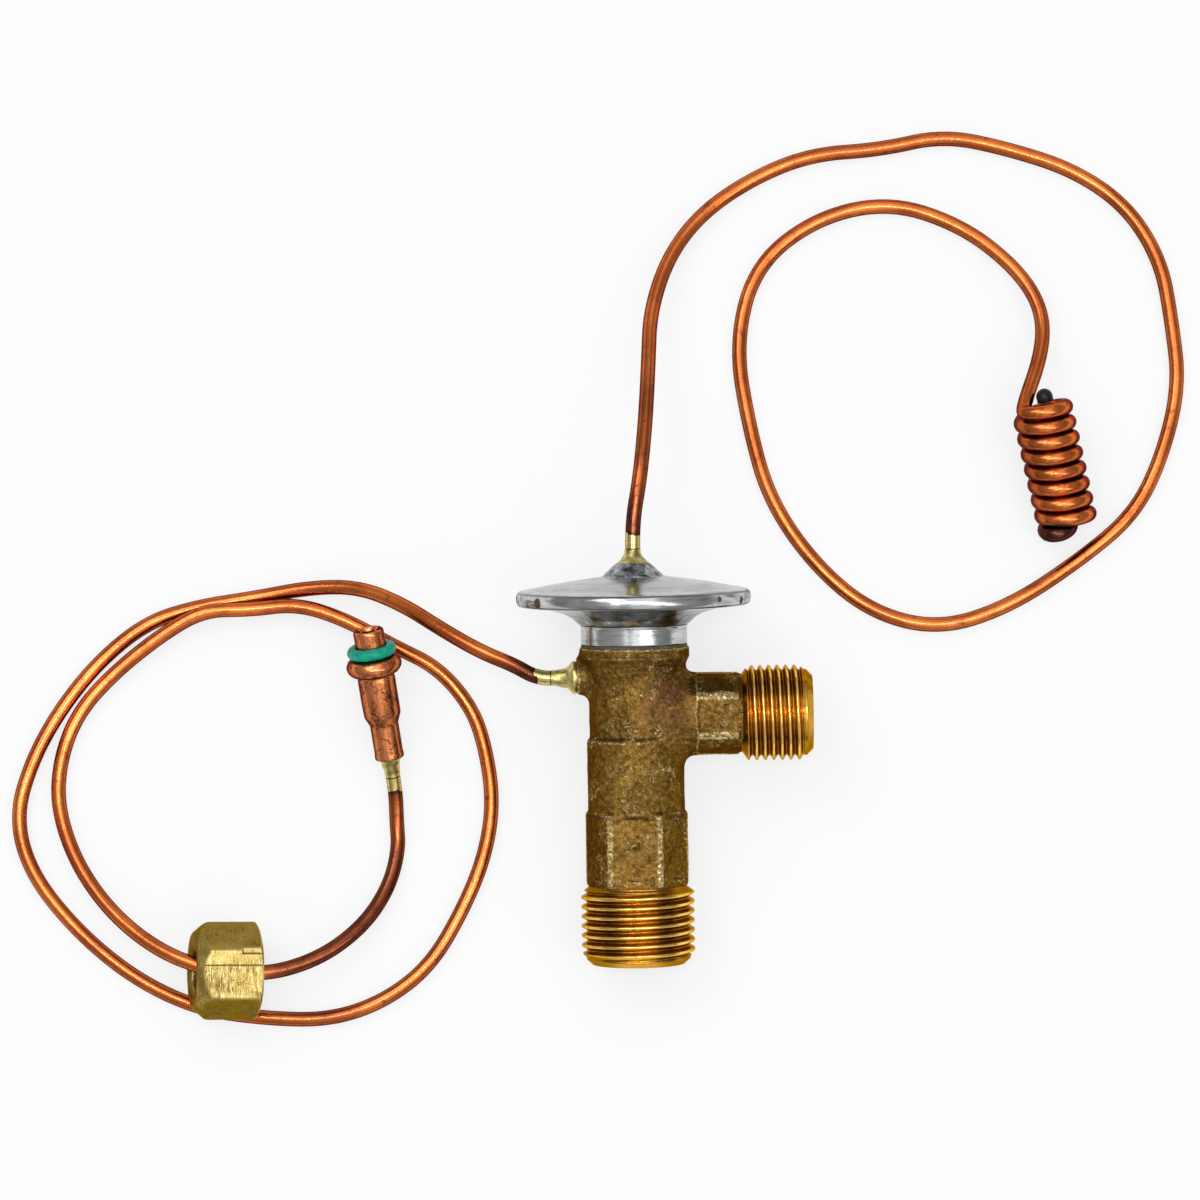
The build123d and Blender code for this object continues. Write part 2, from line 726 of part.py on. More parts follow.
def sensing_coil():
    """Helical sensing element: a bend in, eight turns, and a tail back up the middle."""
    corner, start, helix = coil_entry()
    turn_in = radians((corner - start).get_angle(helix % 0))
    entry_r = 0.98 * COIL_ENTRY / tan(turn_in / 2)
    entry = FilletPolyline(start, corner, helix @ 0, radius=entry_r)
    out, side = helix % 1, coil_plane.x_dir
    inward = COIL_R + COIL_TAIL_X
    first = helix @ 1 + out * (COIL_CLOSING_R + COIL_TAIL_BEND_R)
    second = first + side * inward
    third = second - out * (COIL_CLOSING_R + COIL_TAIL_BEND_R)
    tail = third - coil_axis * (COIL_PITCH * (COIL_FRONT_TURNS - 0.5) + COIL_TAIL_REACH)
    closing = FilletPolyline(
        helix @ 1, first, second, third, tail, radius=[COIL_CLOSING_R, COIL_CLOSING_R, COIL_TAIL_BEND_R]
    )
    path = Wire([*entry.edges(), *helix.edges(), *closing.edges()])
    section = Plane(origin=path @ 0, z_dir=path % 0) * Circle(TUBE_R)
    print("coil path length", round(path.length, 1), "entry radius", round(entry_r, 2))
    return sweep(section, path=path), tail


def coil_end_seal(tail):
    """Rounded sealed end of the tail."""
    plane = Plane(origin=tail, x_dir=coil_side, z_dir=-coil_axis)
    plug = rod(TIP_R, 0, TIP_L - TIP_R) + Pos(0, 0, TIP_L - TIP_R) * Sphere(TIP_R)
    plug &= rod(TIP_R + 1, 0, TIP_L + 1)
    return plane.location * plug


union_run = sqrt(UNION_L**2 - (UNION_LEFT.Z - UNION_RIGHT_Z) ** 2)
union_axis = Vector(union_run, 0, UNION_RIGHT_Z - UNION_LEFT.Z).normalized()
union_plane = Plane(origin=UNION_LEFT, x_dir=Vector(0, 1, 0), z_dir=union_axis)


def union_nut():
    """Hexagon union nut with a coned shoulder at the tube side and a threaded bore."""
    limit = turned(
        (0, 0),
        (UNION_SHOULDER_R, 0),
        (UNION_CORNER_R, UNION_SHOULDER_L),
        (UNION_CORNER_R, UNION_L - UNION_CHAMFER),
        (UNION_FACE_R, UNION_L),
        (0, UNION_L),
    )
    nut = hex_bar(UNION_FLATS, 0, UNION_L, UNION_TURN) & limit
    bore = turned(
        (0, -1),
        (UNION_HOLE_R + 1.3, -1),
        (UNION_HOLE_R, 0.3),
        (UNION_HOLE_R, UNION_HOLE_L),
        (UNION_THREAD_R, UNION_HOLE_L + 1.2),
        (UNION_THREAD_R, UNION_L - 0.6),
        (UNION_THREAD_R + 0.7, UNION_L),
        (UNION_THREAD_R + 0.7, UNION_L + 1),
        (0, UNION_L + 1),
    )
    return union_plane.location * (nut - bore)


fitting_axis = (FITTING_BACK - FITTING_NOSE).normalized()
fitting_plane = Plane(origin=FITTING_NOSE, x_dir=Vector(0, 0, 1).cross(fitting_axis), z_dir=fitting_axis)
bead_low = NOSE_L
sleeve_low = bead_low + BEAD_H
taper_low = sleeve_low + SLEEVE_L
shank_low = taper_low + TAPER_L
fitting_end = shank_low + SHANK_L


def end_fitting():
    """Formed copper end: a nose for the ring seal, an upset bead and a stepped sleeve."""
    body = turned(
        (0, 0.0),
        (NOSE_R - 0.35, 0.0),
        (NOSE_R, 0.35),
        (NOSE_R, RING_GROOVE_START),
        (RING_GROOVE_R, RING_GROOVE_START + 0.1),
        (RING_GROOVE_R, bead_low),
        (SLEEVE_R, bead_low),
        (SLEEVE_R, taper_low),
        (SHANK_R, shank_low),
        (SHANK_R, fitting_end - 0.3),
        (SHANK_R - 0.3, fitting_end),
        (0, fitting_end),
    )
    middle = Pos(0, 0, bead_low + BEAD_H / 2)
    bead = middle * Torus(BEAD_R - BEAD_H / 2, BEAD_H / 2) + rod(BEAD_R - BEAD_H / 2, bead_low, sleeve_low)
    bore = turned(
        (0, -1),
        (NOSE_BORE_R + 0.3, -1),
        (NOSE_BORE_R + 0.3, 0.1),
        (NOSE_BORE_R, 0.5),
        (NOSE_BORE_R, NOSE_BORE_L),
        (0, NOSE_BORE_L + 0.8),
    )
    return fitting_plane.location * (body + bead - bore)


def fitting_o_ring():
    ring = Pos(0, 0, RING_Z) * Torus(RING_R, RING_SECTION_R) - rod(RING_GROOVE_R, 0, NOSE_L)
    return fitting_plane.location * (ring - rod(BEAD_R, NOSE_L, NOSE_L + 2))


def fitting_braze():
    return fitting_plane.location * fillet_ring(SHANK_R - 0.5, fitting_end, FIT_BRAZE_L)


def equaliser_tube():
    """The route ends on the axis of the end fitting, at the back of its braze joint."""
    back = (fitting_plane.location * Pos(0, 0, fitting_end + FIT_BRAZE_L)).position
    return tube(EQUALISER_ROUTE + [back + fitting_axis * 3.6, back], "equaliser")


def capillary_tube():
    start = coil_entry()[1]
    return tube(CAPILLARY_ROUTE + [start], "capillary")


coil, coil_tail = sensing_coil()
NODES = {
    "valve_body": LAY * valve_body(),
    "valve_seat": LAY * valve_seat(),
    "valve_ball": LAY * valve_ball(),
    "ball_carrier": LAY * ball_carrier(),
    "superheat_spring": LAY * superheat_spring(),
    "adjusting_nut": LAY * adjusting_nut(),
    "push_pin": LAY * push_pin(),
    "pin_seal": LAY * pin_seal(),
    "seal_retainer": LAY * seal_retainer(),
    "head_gasket": LAY * head_gasket(),
    "head_collar": LAY * head_collar(),
    "lower_cup": LAY * lower_cup(),
    "diaphragm": LAY * diaphragm(),
    "upper_cup": LAY * upper_cup(),
    "capillary_boss": LAY * capillary_boss(),
    "capillary_braze": LAY * capillary_braze(),
    "thrust_plate": LAY * thrust_plate(),
    "inlet_strainer": LAY * inlet_strainer(),
    "equaliser_braze": LAY * equaliser_braze(),
    "capillary_tube": capillary_tube(),
    "sensing_coil": coil,
    "coil_end_seal": coil_end_seal(coil_tail),
    "equaliser_tube": equaliser_tube(),
    "union_nut": union_nut(),
    "end_fitting": end_fitting(),
    "fitting_o_ring": fitting_o_ring(),
    "fitting_braze": fitting_braze(),
}
for node, shape in NODES.items():
    export_step(shape, f"parts/{node}.step")
print("lean", round(LEAN, 3), "axis", round(axis_x, 3), round(axis_y, 3), round(axis_h, 3))
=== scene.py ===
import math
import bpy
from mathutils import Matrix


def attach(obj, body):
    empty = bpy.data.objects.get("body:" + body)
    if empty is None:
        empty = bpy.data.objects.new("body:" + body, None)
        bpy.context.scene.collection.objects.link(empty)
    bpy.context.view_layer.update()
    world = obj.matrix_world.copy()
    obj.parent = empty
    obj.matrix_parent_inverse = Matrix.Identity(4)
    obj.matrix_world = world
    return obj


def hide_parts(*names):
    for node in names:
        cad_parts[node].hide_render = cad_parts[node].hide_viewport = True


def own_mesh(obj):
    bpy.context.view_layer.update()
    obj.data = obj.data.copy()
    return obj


bl_info = {
    "name": "Expansion valve",
    "version": (1, 0, 0),
    "blender": (4, 5, 0),
    "location": "View3D > Sidebar > Valve",
    "description": "Dresses the packed thermostatic expansion valve and sets its stage",
    "category": "Object",
}

import bmesh
import bpy
import numpy as np
from mathutils import Matrix, Vector, noise

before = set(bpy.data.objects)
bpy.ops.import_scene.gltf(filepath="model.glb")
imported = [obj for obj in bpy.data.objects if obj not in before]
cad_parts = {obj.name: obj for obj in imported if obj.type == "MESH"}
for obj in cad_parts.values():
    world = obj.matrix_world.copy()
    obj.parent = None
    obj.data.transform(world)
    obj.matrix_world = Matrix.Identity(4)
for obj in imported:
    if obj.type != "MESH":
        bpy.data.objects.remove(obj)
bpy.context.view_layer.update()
MM = 0.001

# The valve's own frame: local Z is its axis from the outlet face to the head, +X the inlet arm
LEAN = math.radians(9.717)
COS, SIN = math.cos(LEAN), math.sin(LEAN)
AXIS_AT = (-4.95, -33.364, 8.969)
ARM_Z = 41.4
BOSS_Z = 47.65


def frame_of(x, y, z, at):
    """A frame from its three axes and its origin."""
    turn = Matrix((x, y, z)).transposed().to_4x4()
    turn.translation = Vector(at)
    return turn


def axis_frame(start, toward):
    """A frame in millimetres whose Z runs from start toward a second point, with X level."""
    up = (Vector(toward) - Vector(start)).normalized()
    side = Vector((0, 0, 1)).cross(up).normalized()
    return frame_of(side, up.cross(side), up, start)


VALVE_FRAME = frame_of((1, 0, 0), (0, SIN, -COS), (0, COS, SIN), AXIS_AT)
ARM_FRAME = VALVE_FRAME @ frame_of((0, 1, 0), (0, 0, 1), (1, 0, 0), (0, 0, ARM_Z))
BOSS_FRAME = VALVE_FRAME @ frame_of((0, -1, 0), (0, 0, 1), (-1, 0, 0), (0, 0, BOSS_Z))


def laid(x, y, z):
    """A point of the valve's own frame as it lies on the bench, in millimetres."""
    return tuple(VALVE_FRAME @ Vector((x, y, z)))


# Routes of the two tubes in millimetres, as in the construction
CAPILLARY_ROUTE = [
    laid(0, 0, 68.8), laid(0, 0, 73.4), (-3.6, 45.9, 22.1), (-2.5, 55.9, 19.2), (-1.8, 66.6, 13.4),
    (-1.3, 76.5, 7.8), (2.0, 86.6, 3.9), (8.0, 94.5, 1.8), (17.1, 100.5, 1.25), (26.8, 104.2, 1.25),
    (38.3, 104.8, 1.25), (49.0, 107.1, 1.25), (59.6, 104.8, 1.25), (71.3, 100.8, 1.25),
    (80.3, 94.2, 1.25), (85.7, 84.7, 1.25), (87.2, 74.4, 1.25), (88.2, 63.5, 1.25), (85.1, 51.6, 1.25),
    (80.1, 41.6, 1.25), (70.6, 33.9, 1.25), (58.6, 26.2, 1.25), (46.7, 22.5, 1.25), (35.3, 25.5, 1.25),
    (25.9, 33.6, 1.25), (18.4, 44.9, 1.25), (15.2, 57.3, 1.25), (13.1, 71.7, 1.25), (16.7, 85.1, 1.25),
    (27.2, 93.2, 1.25), (39.9, 95.8, 1.25), (52.0, 91.4, 1.6), (60.8, 83.9, 2.8), (65.0, 76.7, 4.2),
    (64.9, 69.1, 6.1),
]
EQUALISER_ROUTE = [
    laid(-13.8, 0, BOSS_Z), laid(-16.2, 0, BOSS_Z), (-24.9, 15.9, 16.7), (-30.2, 18.2, 15.6),
    (-36.6, 22.2, 13.2), (-43.7, 27.3, 9.2), (-51.1, 30.7, 5.6), (-59.5, 31.0, 3.0),
    (-68.8, 29.5, 1.7), (-78.2, 28.3, 1.25), (-86.8, 25.8, 1.25), (-94.8, 19.5, 1.4),
    (-101.6, 11.2, 1.6), (-106.5, 2.4, 1.6), (-109.2, -7.0, 1.6), (-106.6, -16.6, 1.6),
    (-98.7, -26.5, 1.6), (-89.1, -34.5, 1.4), (-78.5, -39.6, 1.25), (-67.4, -41.3, 1.25),
    (-56.8, -41.7, 1.25), (-47.7, -38.8, 1.25), (-39.9, -33.0, 1.25), (-34.4, -23.9, 1.25),
    (-30.5, -14.9, 1.25), (-28.9, -5.7, 1.25), (-30.1, 3.6, 1.25), (-32.4, 10.6, 1.3),
    (-38.0, 17.3, 1.8), (-45.2, 20.8, 2.9), (-53.5, 25.5, 3.6), (-61.5, 28.2, 3.6), (-69.4, 27.3, 3.6),
    (-77.2, 27.4, 3.7), (-84.4, 23.4, 2.8), (-92.5, 17.2, 1.8), (-98.6, 10.6, 1.6), (-101.6, 3.0, 1.6),
    (-102.2, -5.1, 1.6), (-99.3, -14.3, 1.8), (-93.8, -22.5, 3.3), (-86.6, -28.9, 6.3),
    (-78.6, -32.9, 9.1), (-67.9, -34.5, 7.5), (-58.5, -31.9, 5.8), (-51.1, -26.5, 3.8),
    (-46.7, -20.0, 2.1), (-44.9, -13.4, 1.25), (-45.2, -8.5, 1.5),
]
COIL_TOP = Vector((64.0, 58.4, 11.82))
COIL_BOTTOM = Vector((68.1, 40.9, 5.355))
NOSE = (-49.2, 22.6, 13.4)
NOSE_BACK = (-45.1, -4.8, 2.4)
COIL_FRAME = axis_frame(COIL_TOP, COIL_BOTTOM)
FITTING_FRAME = axis_frame(NOSE, NOSE_BACK)
FITTING_LENGTH = 25.2
TAIL_FRAME = FITTING_FRAME @ Matrix.Translation((0, 0, FITTING_LENGTH))

# The nut's axis runs from its left face to its right one and falls a little
NUT_LENGTH, NUT_FALL = 11.0, 2.4
NUT_LEFT = Vector((-79.1, -33.6, 9.82))
NUT_RIGHT = NUT_LEFT + Vector((math.sqrt(NUT_LENGTH**2 - NUT_FALL**2), 0, -NUT_FALL))
NUT_FRAME = axis_frame(NUT_LEFT, NUT_RIGHT)
NUT_TURN = math.radians(8.4)


# Mesh helpers

SHARP_EDGE = math.radians(32)


def keep(name, vertices, faces, place):
    """A mesh object from points in its own frame, laid in place and turned to metres."""
    points = np.asarray(vertices, float)
    turn = np.array(place.to_3x3())
    points = (points @ turn.T + np.array(place.translation)) * MM
    mesh = bpy.data.meshes.new(name)
    mesh.from_pydata(points.tolist(), [], [list(map(int, f)) for f in faces])
    mesh.update()
    piece = bpy.data.objects.new(name, mesh)
    bpy.context.scene.collection.objects.link(piece)
    mesh.shade_smooth()
    return piece


def ease(profile, reach, steps=4):
    """Rounds the corners of an (r, z) outline, from reach before each one to reach after it."""
    out = [tuple(Vector(profile[0]))]
    for before, corner, after in zip(profile, profile[1:], profile[2:]):
        corner = Vector(corner)
        before, after = Vector(before) - corner, Vector(after) - corner
        size = min(reach, 0.45 * before.length, 0.45 * after.length)
        a, b = corner + before.normalized() * size, corner + after.normalized() * size
        for k in range(steps + 1):
            t = k / steps
            out.append(tuple(a * (1 - t) ** 2 + corner * 2 * t * (1 - t) + b * t * t))
    return out + [tuple(Vector(profile[-1]))]


def lathe(name, profile, place, turns=160, wobble=None):
    """Turns an (r, z) outline round Z. wobble(angle, z) adds to the radius."""
    angles = np.linspace(0, 2 * math.pi, turns, endpoint=False)
    vertices, rings = [], []
    for r, z in profile:
        if r < 1e-6:
            rings.append([len(vertices)] * turns)
            vertices.append((0, 0, z))
            continue
        extra = wobble(angles, z) if wobble else np.zeros(turns)
        first = len(vertices)
        rings.append(list(range(first, first + turns)))
        vertices += [((r + e) * math.cos(a), (r + e) * math.sin(a), z) for a, e in zip(angles, extra)]
    faces = []
    for low, high in zip(rings, rings[1:]):
        for k in range(turns):
            n = (k + 1) % turns
            corner = [low[k], low[n], high[n], high[k]]
            face = [c for i, c in enumerate(corner) if c != corner[i - 1]]
            if len(set(face)) > 2:
                faces.append(face)
    piece = keep(name, vertices, faces, place)
    face_outward(piece)
    piece.data.set_sharp_from_angle(angle=SHARP_EDGE)
    return piece


def face_outward(piece):
    """Makes the faces of a closed mesh look outward."""
    work = bmesh.new()
    work.from_mesh(piece.data)
    bmesh.ops.remove_doubles(work, verts=work.verts, dist=1e-8)
    bmesh.ops.recalc_face_normals(work, faces=work.faces)
    if work.calc_volume(signed=True) < 0:
        bmesh.ops.reverse_faces(work, faces=work.faces)
    work.to_mesh(piece.data)
    work.free()
    piece.data.update()


def rows_of(stops, step):
    """Heights from stop to stop, no further apart than step."""
    out = [stops[0]]
    for a, b in zip(stops, stops[1:]):
        count = max(1, math.ceil((b - a) / step))
        out += [a + (b - a) * (k + 1) / count for k in range(count)]
    return out


def threaded(name, place, stops, outer, inner, step, turns=288):
    """A threaded end: an outer skin outer(angle, z), a bore inner(angle, z) and its two faces."""
    angles = np.linspace(0, 2 * math.pi, turns, endpoint=False)
    rows = rows_of(stops, step)
    shells = [(z, outer(angles, z)) for z in rows]
    inside = rows_of([rows[0], rows[0] + 0.5, rows[-1]], 2.0)
    rings = shells + [(z, inner(angles, z)) for z in reversed(inside)]
    vertices = np.concatenate(
        [np.stack([r * np.cos(angles), r * np.sin(angles), np.full(turns, z)], 1) for z, r in rings]
    )
    faces = []
    for i in range(len(rings)):
        a, b = i * turns, ((i + 1) % len(rings)) * turns
        faces += [(a + k, a + (k + 1) % turns, b + (k + 1) % turns, b + k) for k in range(turns)]
    piece = keep(name, vertices, faces, place)
    face_outward(piece)
    return piece


def screw(angle, z, crest, pitch, height):
    """Radius of a right-hand vee thread with a narrow crest and a rounded root."""
    phase = np.mod(z / pitch - angle / (2 * math.pi), 1.0)
    slope = np.clip((np.abs(phase - 0.5) * 2 - 0.16) / 0.74, 0, 1)
    return crest - height * (slope - 0.05 * np.sin(2 * math.pi * slope))


def mark(piece, name, values):
    """Writes one number per point of the mesh, for the finish to read."""
    layer = piece.data.attributes.new(name, "FLOAT", "POINT")
    layer.data.foreach_set("value", np.asarray(values, np.float32))


def points_of(piece):
    """The mesh's points as they are stored, in metres."""
    flat = np.empty(len(piece.data.vertices) * 3)
    piece.data.vertices.foreach_get("co", flat)
    return flat.reshape(-1, 3)


def in_frame(piece, place):
    """The mesh's points in millimetres in one of the frames above."""
    turn = np.array(place.to_3x3())
    return (points_of(piece) / MM - np.array(place.translation)) @ turn


def edge_wear(piece, reach):
    """How far each point stands out of the mean of its neighbours, along its normal."""
    mesh = piece.data
    co = points_of(piece) / MM
    ends = np.empty(len(mesh.edges) * 2, int)
    mesh.edges.foreach_get("vertices", ends)
    ends = ends.reshape(-1, 2)
    normal = np.empty(len(co) * 3)
    mesh.vertex_normals.foreach_get("vector", normal)
    normal = normal.reshape(-1, 3)
    value = co.copy()
    for _ in range(3):
        total, count = np.zeros_like(value), np.zeros(len(co))
        for a, b in ((0, 1), (1, 0)):
            np.add.at(total, ends[:, a], value[ends[:, b]])
            np.add.at(count, ends[:, a], 1)
        value = total / np.maximum(count, 1)[:, None]
    out = ((co - value) * normal).sum(1) / reach
    return np.clip(out, -1, 1)


def smooth_low(a, b, k):
    """The lower of two distances, blended where they are within k."""
    h = np.clip(0.5 + 0.5 * (b - a) / k, 0, 1)
    return b * (1 - h) + a * h - k * h * (1 - h)


def smooth_high(a, b, k):
    """The higher of two distances, blended where they are within k."""
    return -smooth_low(-a, -b, k)


def rod(radius, along, r, low, high, k=0.3):
    """Distance to a round bar with softened ends."""
    return smooth_high(radius - r, np.abs(along - (low + high) / 2) - (high - low) / 2, k)


def six_flats(u, v, across):
    """Distance to a hexagonal bar whose first flat looks along u."""
    out = None
    for k in range(3):
        a = math.radians(60 * k)
        d = np.abs(u * math.cos(a) + v * math.sin(a)) - across / 2
        out = d if out is None else smooth_high(out, d, 0.25)
    return out


def skin(name, distance, low, high, cell, place):
    """A closed mesh on the zero level of a distance function, set on it point by point."""
    axes = [np.arange(a, b + cell, cell) for a, b in zip(low, high)]
    grid = np.meshgrid(*axes, indexing="ij")
    field = distance(*grid)
    inside = field < 0
    shape = np.array(field.shape) - 1
    total, count = np.zeros((*shape, 3)), np.zeros(shape)
    for axis in range(3):
        others = [a for a in range(3) if a != axis]
        for da in (0, 1):
            for db in (0, 1):
                cut = [slice(None)] * 3
                cut[others[0]] = slice(da, da + shape[others[0]])
                cut[others[1]] = slice(db, db + shape[others[1]])
                near, far = list(cut), list(cut)
                near[axis], far[axis] = slice(0, -1), slice(1, None)
                f0, f1 = field[tuple(near)], field[tuple(far)]
                crossing = (f0 < 0) != (f1 < 0)
                t = np.where(crossing, f0 / np.where(crossing, f0 - f1, 1), 0)
                total[..., axis] += np.where(crossing, t, 0)
                total[..., others[0]] += np.where(crossing, da, 0)
                total[..., others[1]] += np.where(crossing, db, 0)
                count += crossing
    live = count > 0
    number = np.full(shape, -1)
    number[live] = np.arange(live.sum())
    where = np.argwhere(live)
    points = (where + total[live] / count[live][:, None]) * cell + np.array([a[0] for a in axes])
    faces = []
    for axis in range(3):
        others = [a for a in range(3) if a != axis]
        near, far = [slice(1, -1)] * 3, [slice(1, -1)] * 3
        near[axis], far[axis] = slice(0, -1), slice(1, None)
        crossing = inside[tuple(near)] != inside[tuple(far)]
        spot = np.argwhere(crossing)
        spot[:, others[0]] += 1
        spot[:, others[1]] += 1
        step0, step1 = np.zeros(3, int), np.zeros(3, int)
        step0[others[0]], step1[others[1]] = -1, -1
        quad = np.stack(
            [number[tuple((spot + d).T)] for d in (step0 * 0, step0, step0 + step1, step1)], 1
        )
        faces.append(quad[(quad >= 0).all(1)])
    faces = np.concatenate(faces)
    for _ in range(3):
        eps = 0.02
        at = [points[:, k] for k in range(3)]
        here = distance(*at)
        slope = np.stack(
            [(distance(*[c + eps * (i == k) for k, c in enumerate(at)]) - here) / eps for i in range(3)], 1
        )
        move = -here[:, None] * slope / np.maximum((slope**2).sum(1), 0.2)[:, None]
        points = points + np.clip(move, -cell, cell)
    piece = keep(name, points, faces, place)
    face_outward(piece)
    return piece


def grain(piece, amount, size, seed=0.0):
    """Moves each point in or out by a smooth noise, as a forged or dented face has."""
    mesh = piece.data
    normals = [Vector(n.vector) for n in mesh.vertex_normals]
    for vertex, normal in zip(mesh.vertices, normals):
        p = vertex.co / (size * MM) + Vector((seed, seed, seed))
        vertex.co += normal * (noise.noise(p) * amount * MM)
    mesh.update()


def give_finish(piece, name):
    """Gives an object one of the finishes and takes its old ones off."""
    piece.data.materials.clear()
    piece.data.materials.append(bpy.data.materials["valve_" + name])


def dress(piece, finish, *nodes, slot=None, body="valve"):
    """Gives a piece its finish and its body, and hides the nodes that it stands for. slot is not used."""
    give_finish(piece, finish)
    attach(piece, body)
    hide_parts(*nodes)
    return piece


# Finishes


class Signal:
    """A node socket that takes part in ordinary arithmetic."""

    def __init__(self, tree, socket):
        self.tree, self.socket = tree, socket

    def maths(self, operation, *values):
        return node(self.tree, "ShaderNodeMath", {"operation": operation}, dict(enumerate(values)))

    def __add__(self, other):
        return self.maths("ADD", self, other)

    __radd__ = __add__

    def __sub__(self, other):
        return self.maths("SUBTRACT", self, other)

    def __rsub__(self, other):
        return self.maths("SUBTRACT", other, self)

    def __mul__(self, other):
        return self.maths("MULTIPLY", self, other)

    __rmul__ = __mul__

    def smallest(self, other):
        return self.maths("MINIMUM", self, other)

    def largest(self, other):
        return self.maths("MAXIMUM", self, other)

    def between(self, low, high):
        """0 below low and 1 above high, or the other way round where high is the lower."""
        return node(
            self.tree, "ShaderNodeMapRange", {"interpolation_type": "SMOOTHSTEP"},
            {"Value": self, "From Min": low, "From Max": high, "To Min": 0.0, "To Max": 1.0},
        )


def node(tree, kind, settings, inputs, output=0):
    """Adds one node. Its settings come first, then its inputs by name or number."""
    made = tree.nodes.new(kind)
    for key, value in settings.items():
        if key == "stops":
            ramp = made.color_ramp
            while len(ramp.elements) < len(value):
                ramp.elements.new(0.5)
            for element, (place, colour) in zip(ramp.elements, value):
                element.position, element.color = place, (*colour, 1)
        else:
            setattr(made, key, value)
    for key, value in inputs.items():
        if isinstance(value, Signal):
            tree.links.new(value.socket, made.inputs[key])
        else:
            made.inputs[key].default_value = value
    return Signal(tree, made.outputs[output]) if len(made.outputs) else made


class Finish:
    """One material in the making, with the patterns that all of them share."""

    def __init__(self, name):
        self.material = bpy.data.materials.new("valve_" + name)
        self.material.use_nodes = True
        self.tree = self.material.node_tree
        self.tree.nodes.clear()
        self.at = self.make("ShaderNodeTexCoord", {}, {}, "Object")

    def make(self, kind, settings, inputs, output=0):
        return node(self.tree, kind, settings, inputs, output)

    def stretched(self, x, y, z, place=None):
        """Object coordinates along the axes of a frame, stretched."""
        turn = (place or Matrix.Identity(4)).to_euler()
        turned = self.make(
            "ShaderNodeMapping", {"vector_type": "TEXTURE"}, {"Vector": self.at, "Rotation": turn}
        )
        return self.make(
            "ShaderNodeVectorMath", {"operation": "MULTIPLY"}, {0: turned, 1: (x, y, z)}
        )

    def noise(self, size, detail=3.0, rough=0.55, at=None, bend=0.0):
        """Noise whose lumps are about size millimetres across."""
        return self.make(
            "ShaderNodeTexNoise", {},
            {"Vector": at or self.at, "Scale": 1000.0 / size, "Detail": detail, "Roughness": rough,
             "Distortion": bend},
        )

    def spots(self, size):
        """Distance from the nearest of many scattered points."""
        return self.make("ShaderNodeTexVoronoi", {}, {"Vector": self.at, "Scale": 1000.0 / size})

    def veins(self, size, width, bend=0.6):
        """Thin curly lines, where a noise crosses its middle."""
        off = self.noise(size, 3, 0.6, bend=bend) - 0.5
        return (off * off).between(width**2, width**2 * 0.15)

    def lifted(self):
        """1 where the piece's own surface looks up, 0 on its sides and -1 below."""
        normal = self.make("ShaderNodeTexCoord", {}, {}, "Normal")
        return self.make("ShaderNodeSeparateXYZ", {}, {"Vector": normal}, "Z")

    def mark(self, name):
        """A number that the mesh holds for each of its points."""
        return self.make("ShaderNodeAttribute", {"attribute_name": name}, {}, "Fac")

    def mix(self, factor, a, b):
        """Colour a where factor is 0, colour b where it is 1."""
        a, b = (value if isinstance(value, Signal) else (*value[:3], 1) for value in (a, b))
        return self.make("ShaderNodeMix", {"data_type": "RGBA"}, {0: factor, 6: a, 7: b}, 2)

    def paint(self, factor, colour):
        """Lays a colour over the base colour so far."""
        self.base = self.mix(factor, self.base, colour)

    def along(self, place, start=0.0):
        """Millimetres along the Z of a frame, measured from start."""
        axis = place.to_3x3() @ Vector((0, 0, 1))
        dot = self.make(
            "ShaderNodeVectorMath", {"operation": "DOT_PRODUCT"}, {0: self.at, 1: tuple(axis)}, "Value"
        )
        return dot * 1000.0 - (axis.dot(place.translation) + start)

    def away(self, point):
        """Millimetres from a point."""
        far = self.make(
            "ShaderNodeVectorMath", {"operation": "DISTANCE"},
            {0: self.at, 1: tuple(Vector(point) * MM)}, "Value",
        )
        return far * 1000.0

    def done(self, rough, metal, height, depth, **uniform):
        """Wires the shader. depth is the bump's height in millimetres."""
        bump = self.make(
            "ShaderNodeBump", {}, {"Height": height, "Distance": depth * MM, "Strength": 1.0}, "Normal"
        )
        inputs = {"Base Color": self.base, "Roughness": rough, "Metallic": metal, "Normal": bump}
        for key, value in uniform.items():
            inputs[key.replace("_", " ").title().replace("Ior", "IOR")] = value
        shader = self.make("ShaderNodeBsdfPrincipled", {}, inputs, "BSDF")
        self.make("ShaderNodeOutputMaterial", {}, {"Surface": shader})


# Colours of stains, wear and dirt, of painted shade, shadow, highlight and reflection, and the tints of the
# metals' highlights
GRAIN_DARK = (0.055, 0.03, 0.008)
# Painted shade on the sides of the forged body and on the arm's upper face
BRASS_SIDE_SHADE = (0.035, 0.02, 0.006)
# Painted shade in the hollows of the forged body
BRASS_HOLLOW_SHADE = (0.03, 0.015, 0.005)
BRASS_PIT = (0.035, 0.02, 0.008)
# Painted shade on the threads away from their very top
THREAD_OFF_TOP_SHADE = (0.13, 0.06, 0.008)
THREAD_STAIN = (0.10, 0.04, 0.01)
# Painted highlight on the thread crests
THREAD_CREST_HIGHLIGHT = (1.0, 0.7, 0.19)
# Painted shade on the threads' sides that turn away from the top
THREAD_SIDE_SHADE = (0.09, 0.05, 0.014)
THREAD_DIRT = (0.045, 0.025, 0.012)
# Painted shade on the nut's faces that turn away from the top
NUT_SIDE_SHADE = (0.11, 0.07, 0.012)
NUT_SCRATCH = (0.95, 0.82, 0.45)
NUT_EDGE = (0.95, 0.8, 0.4)
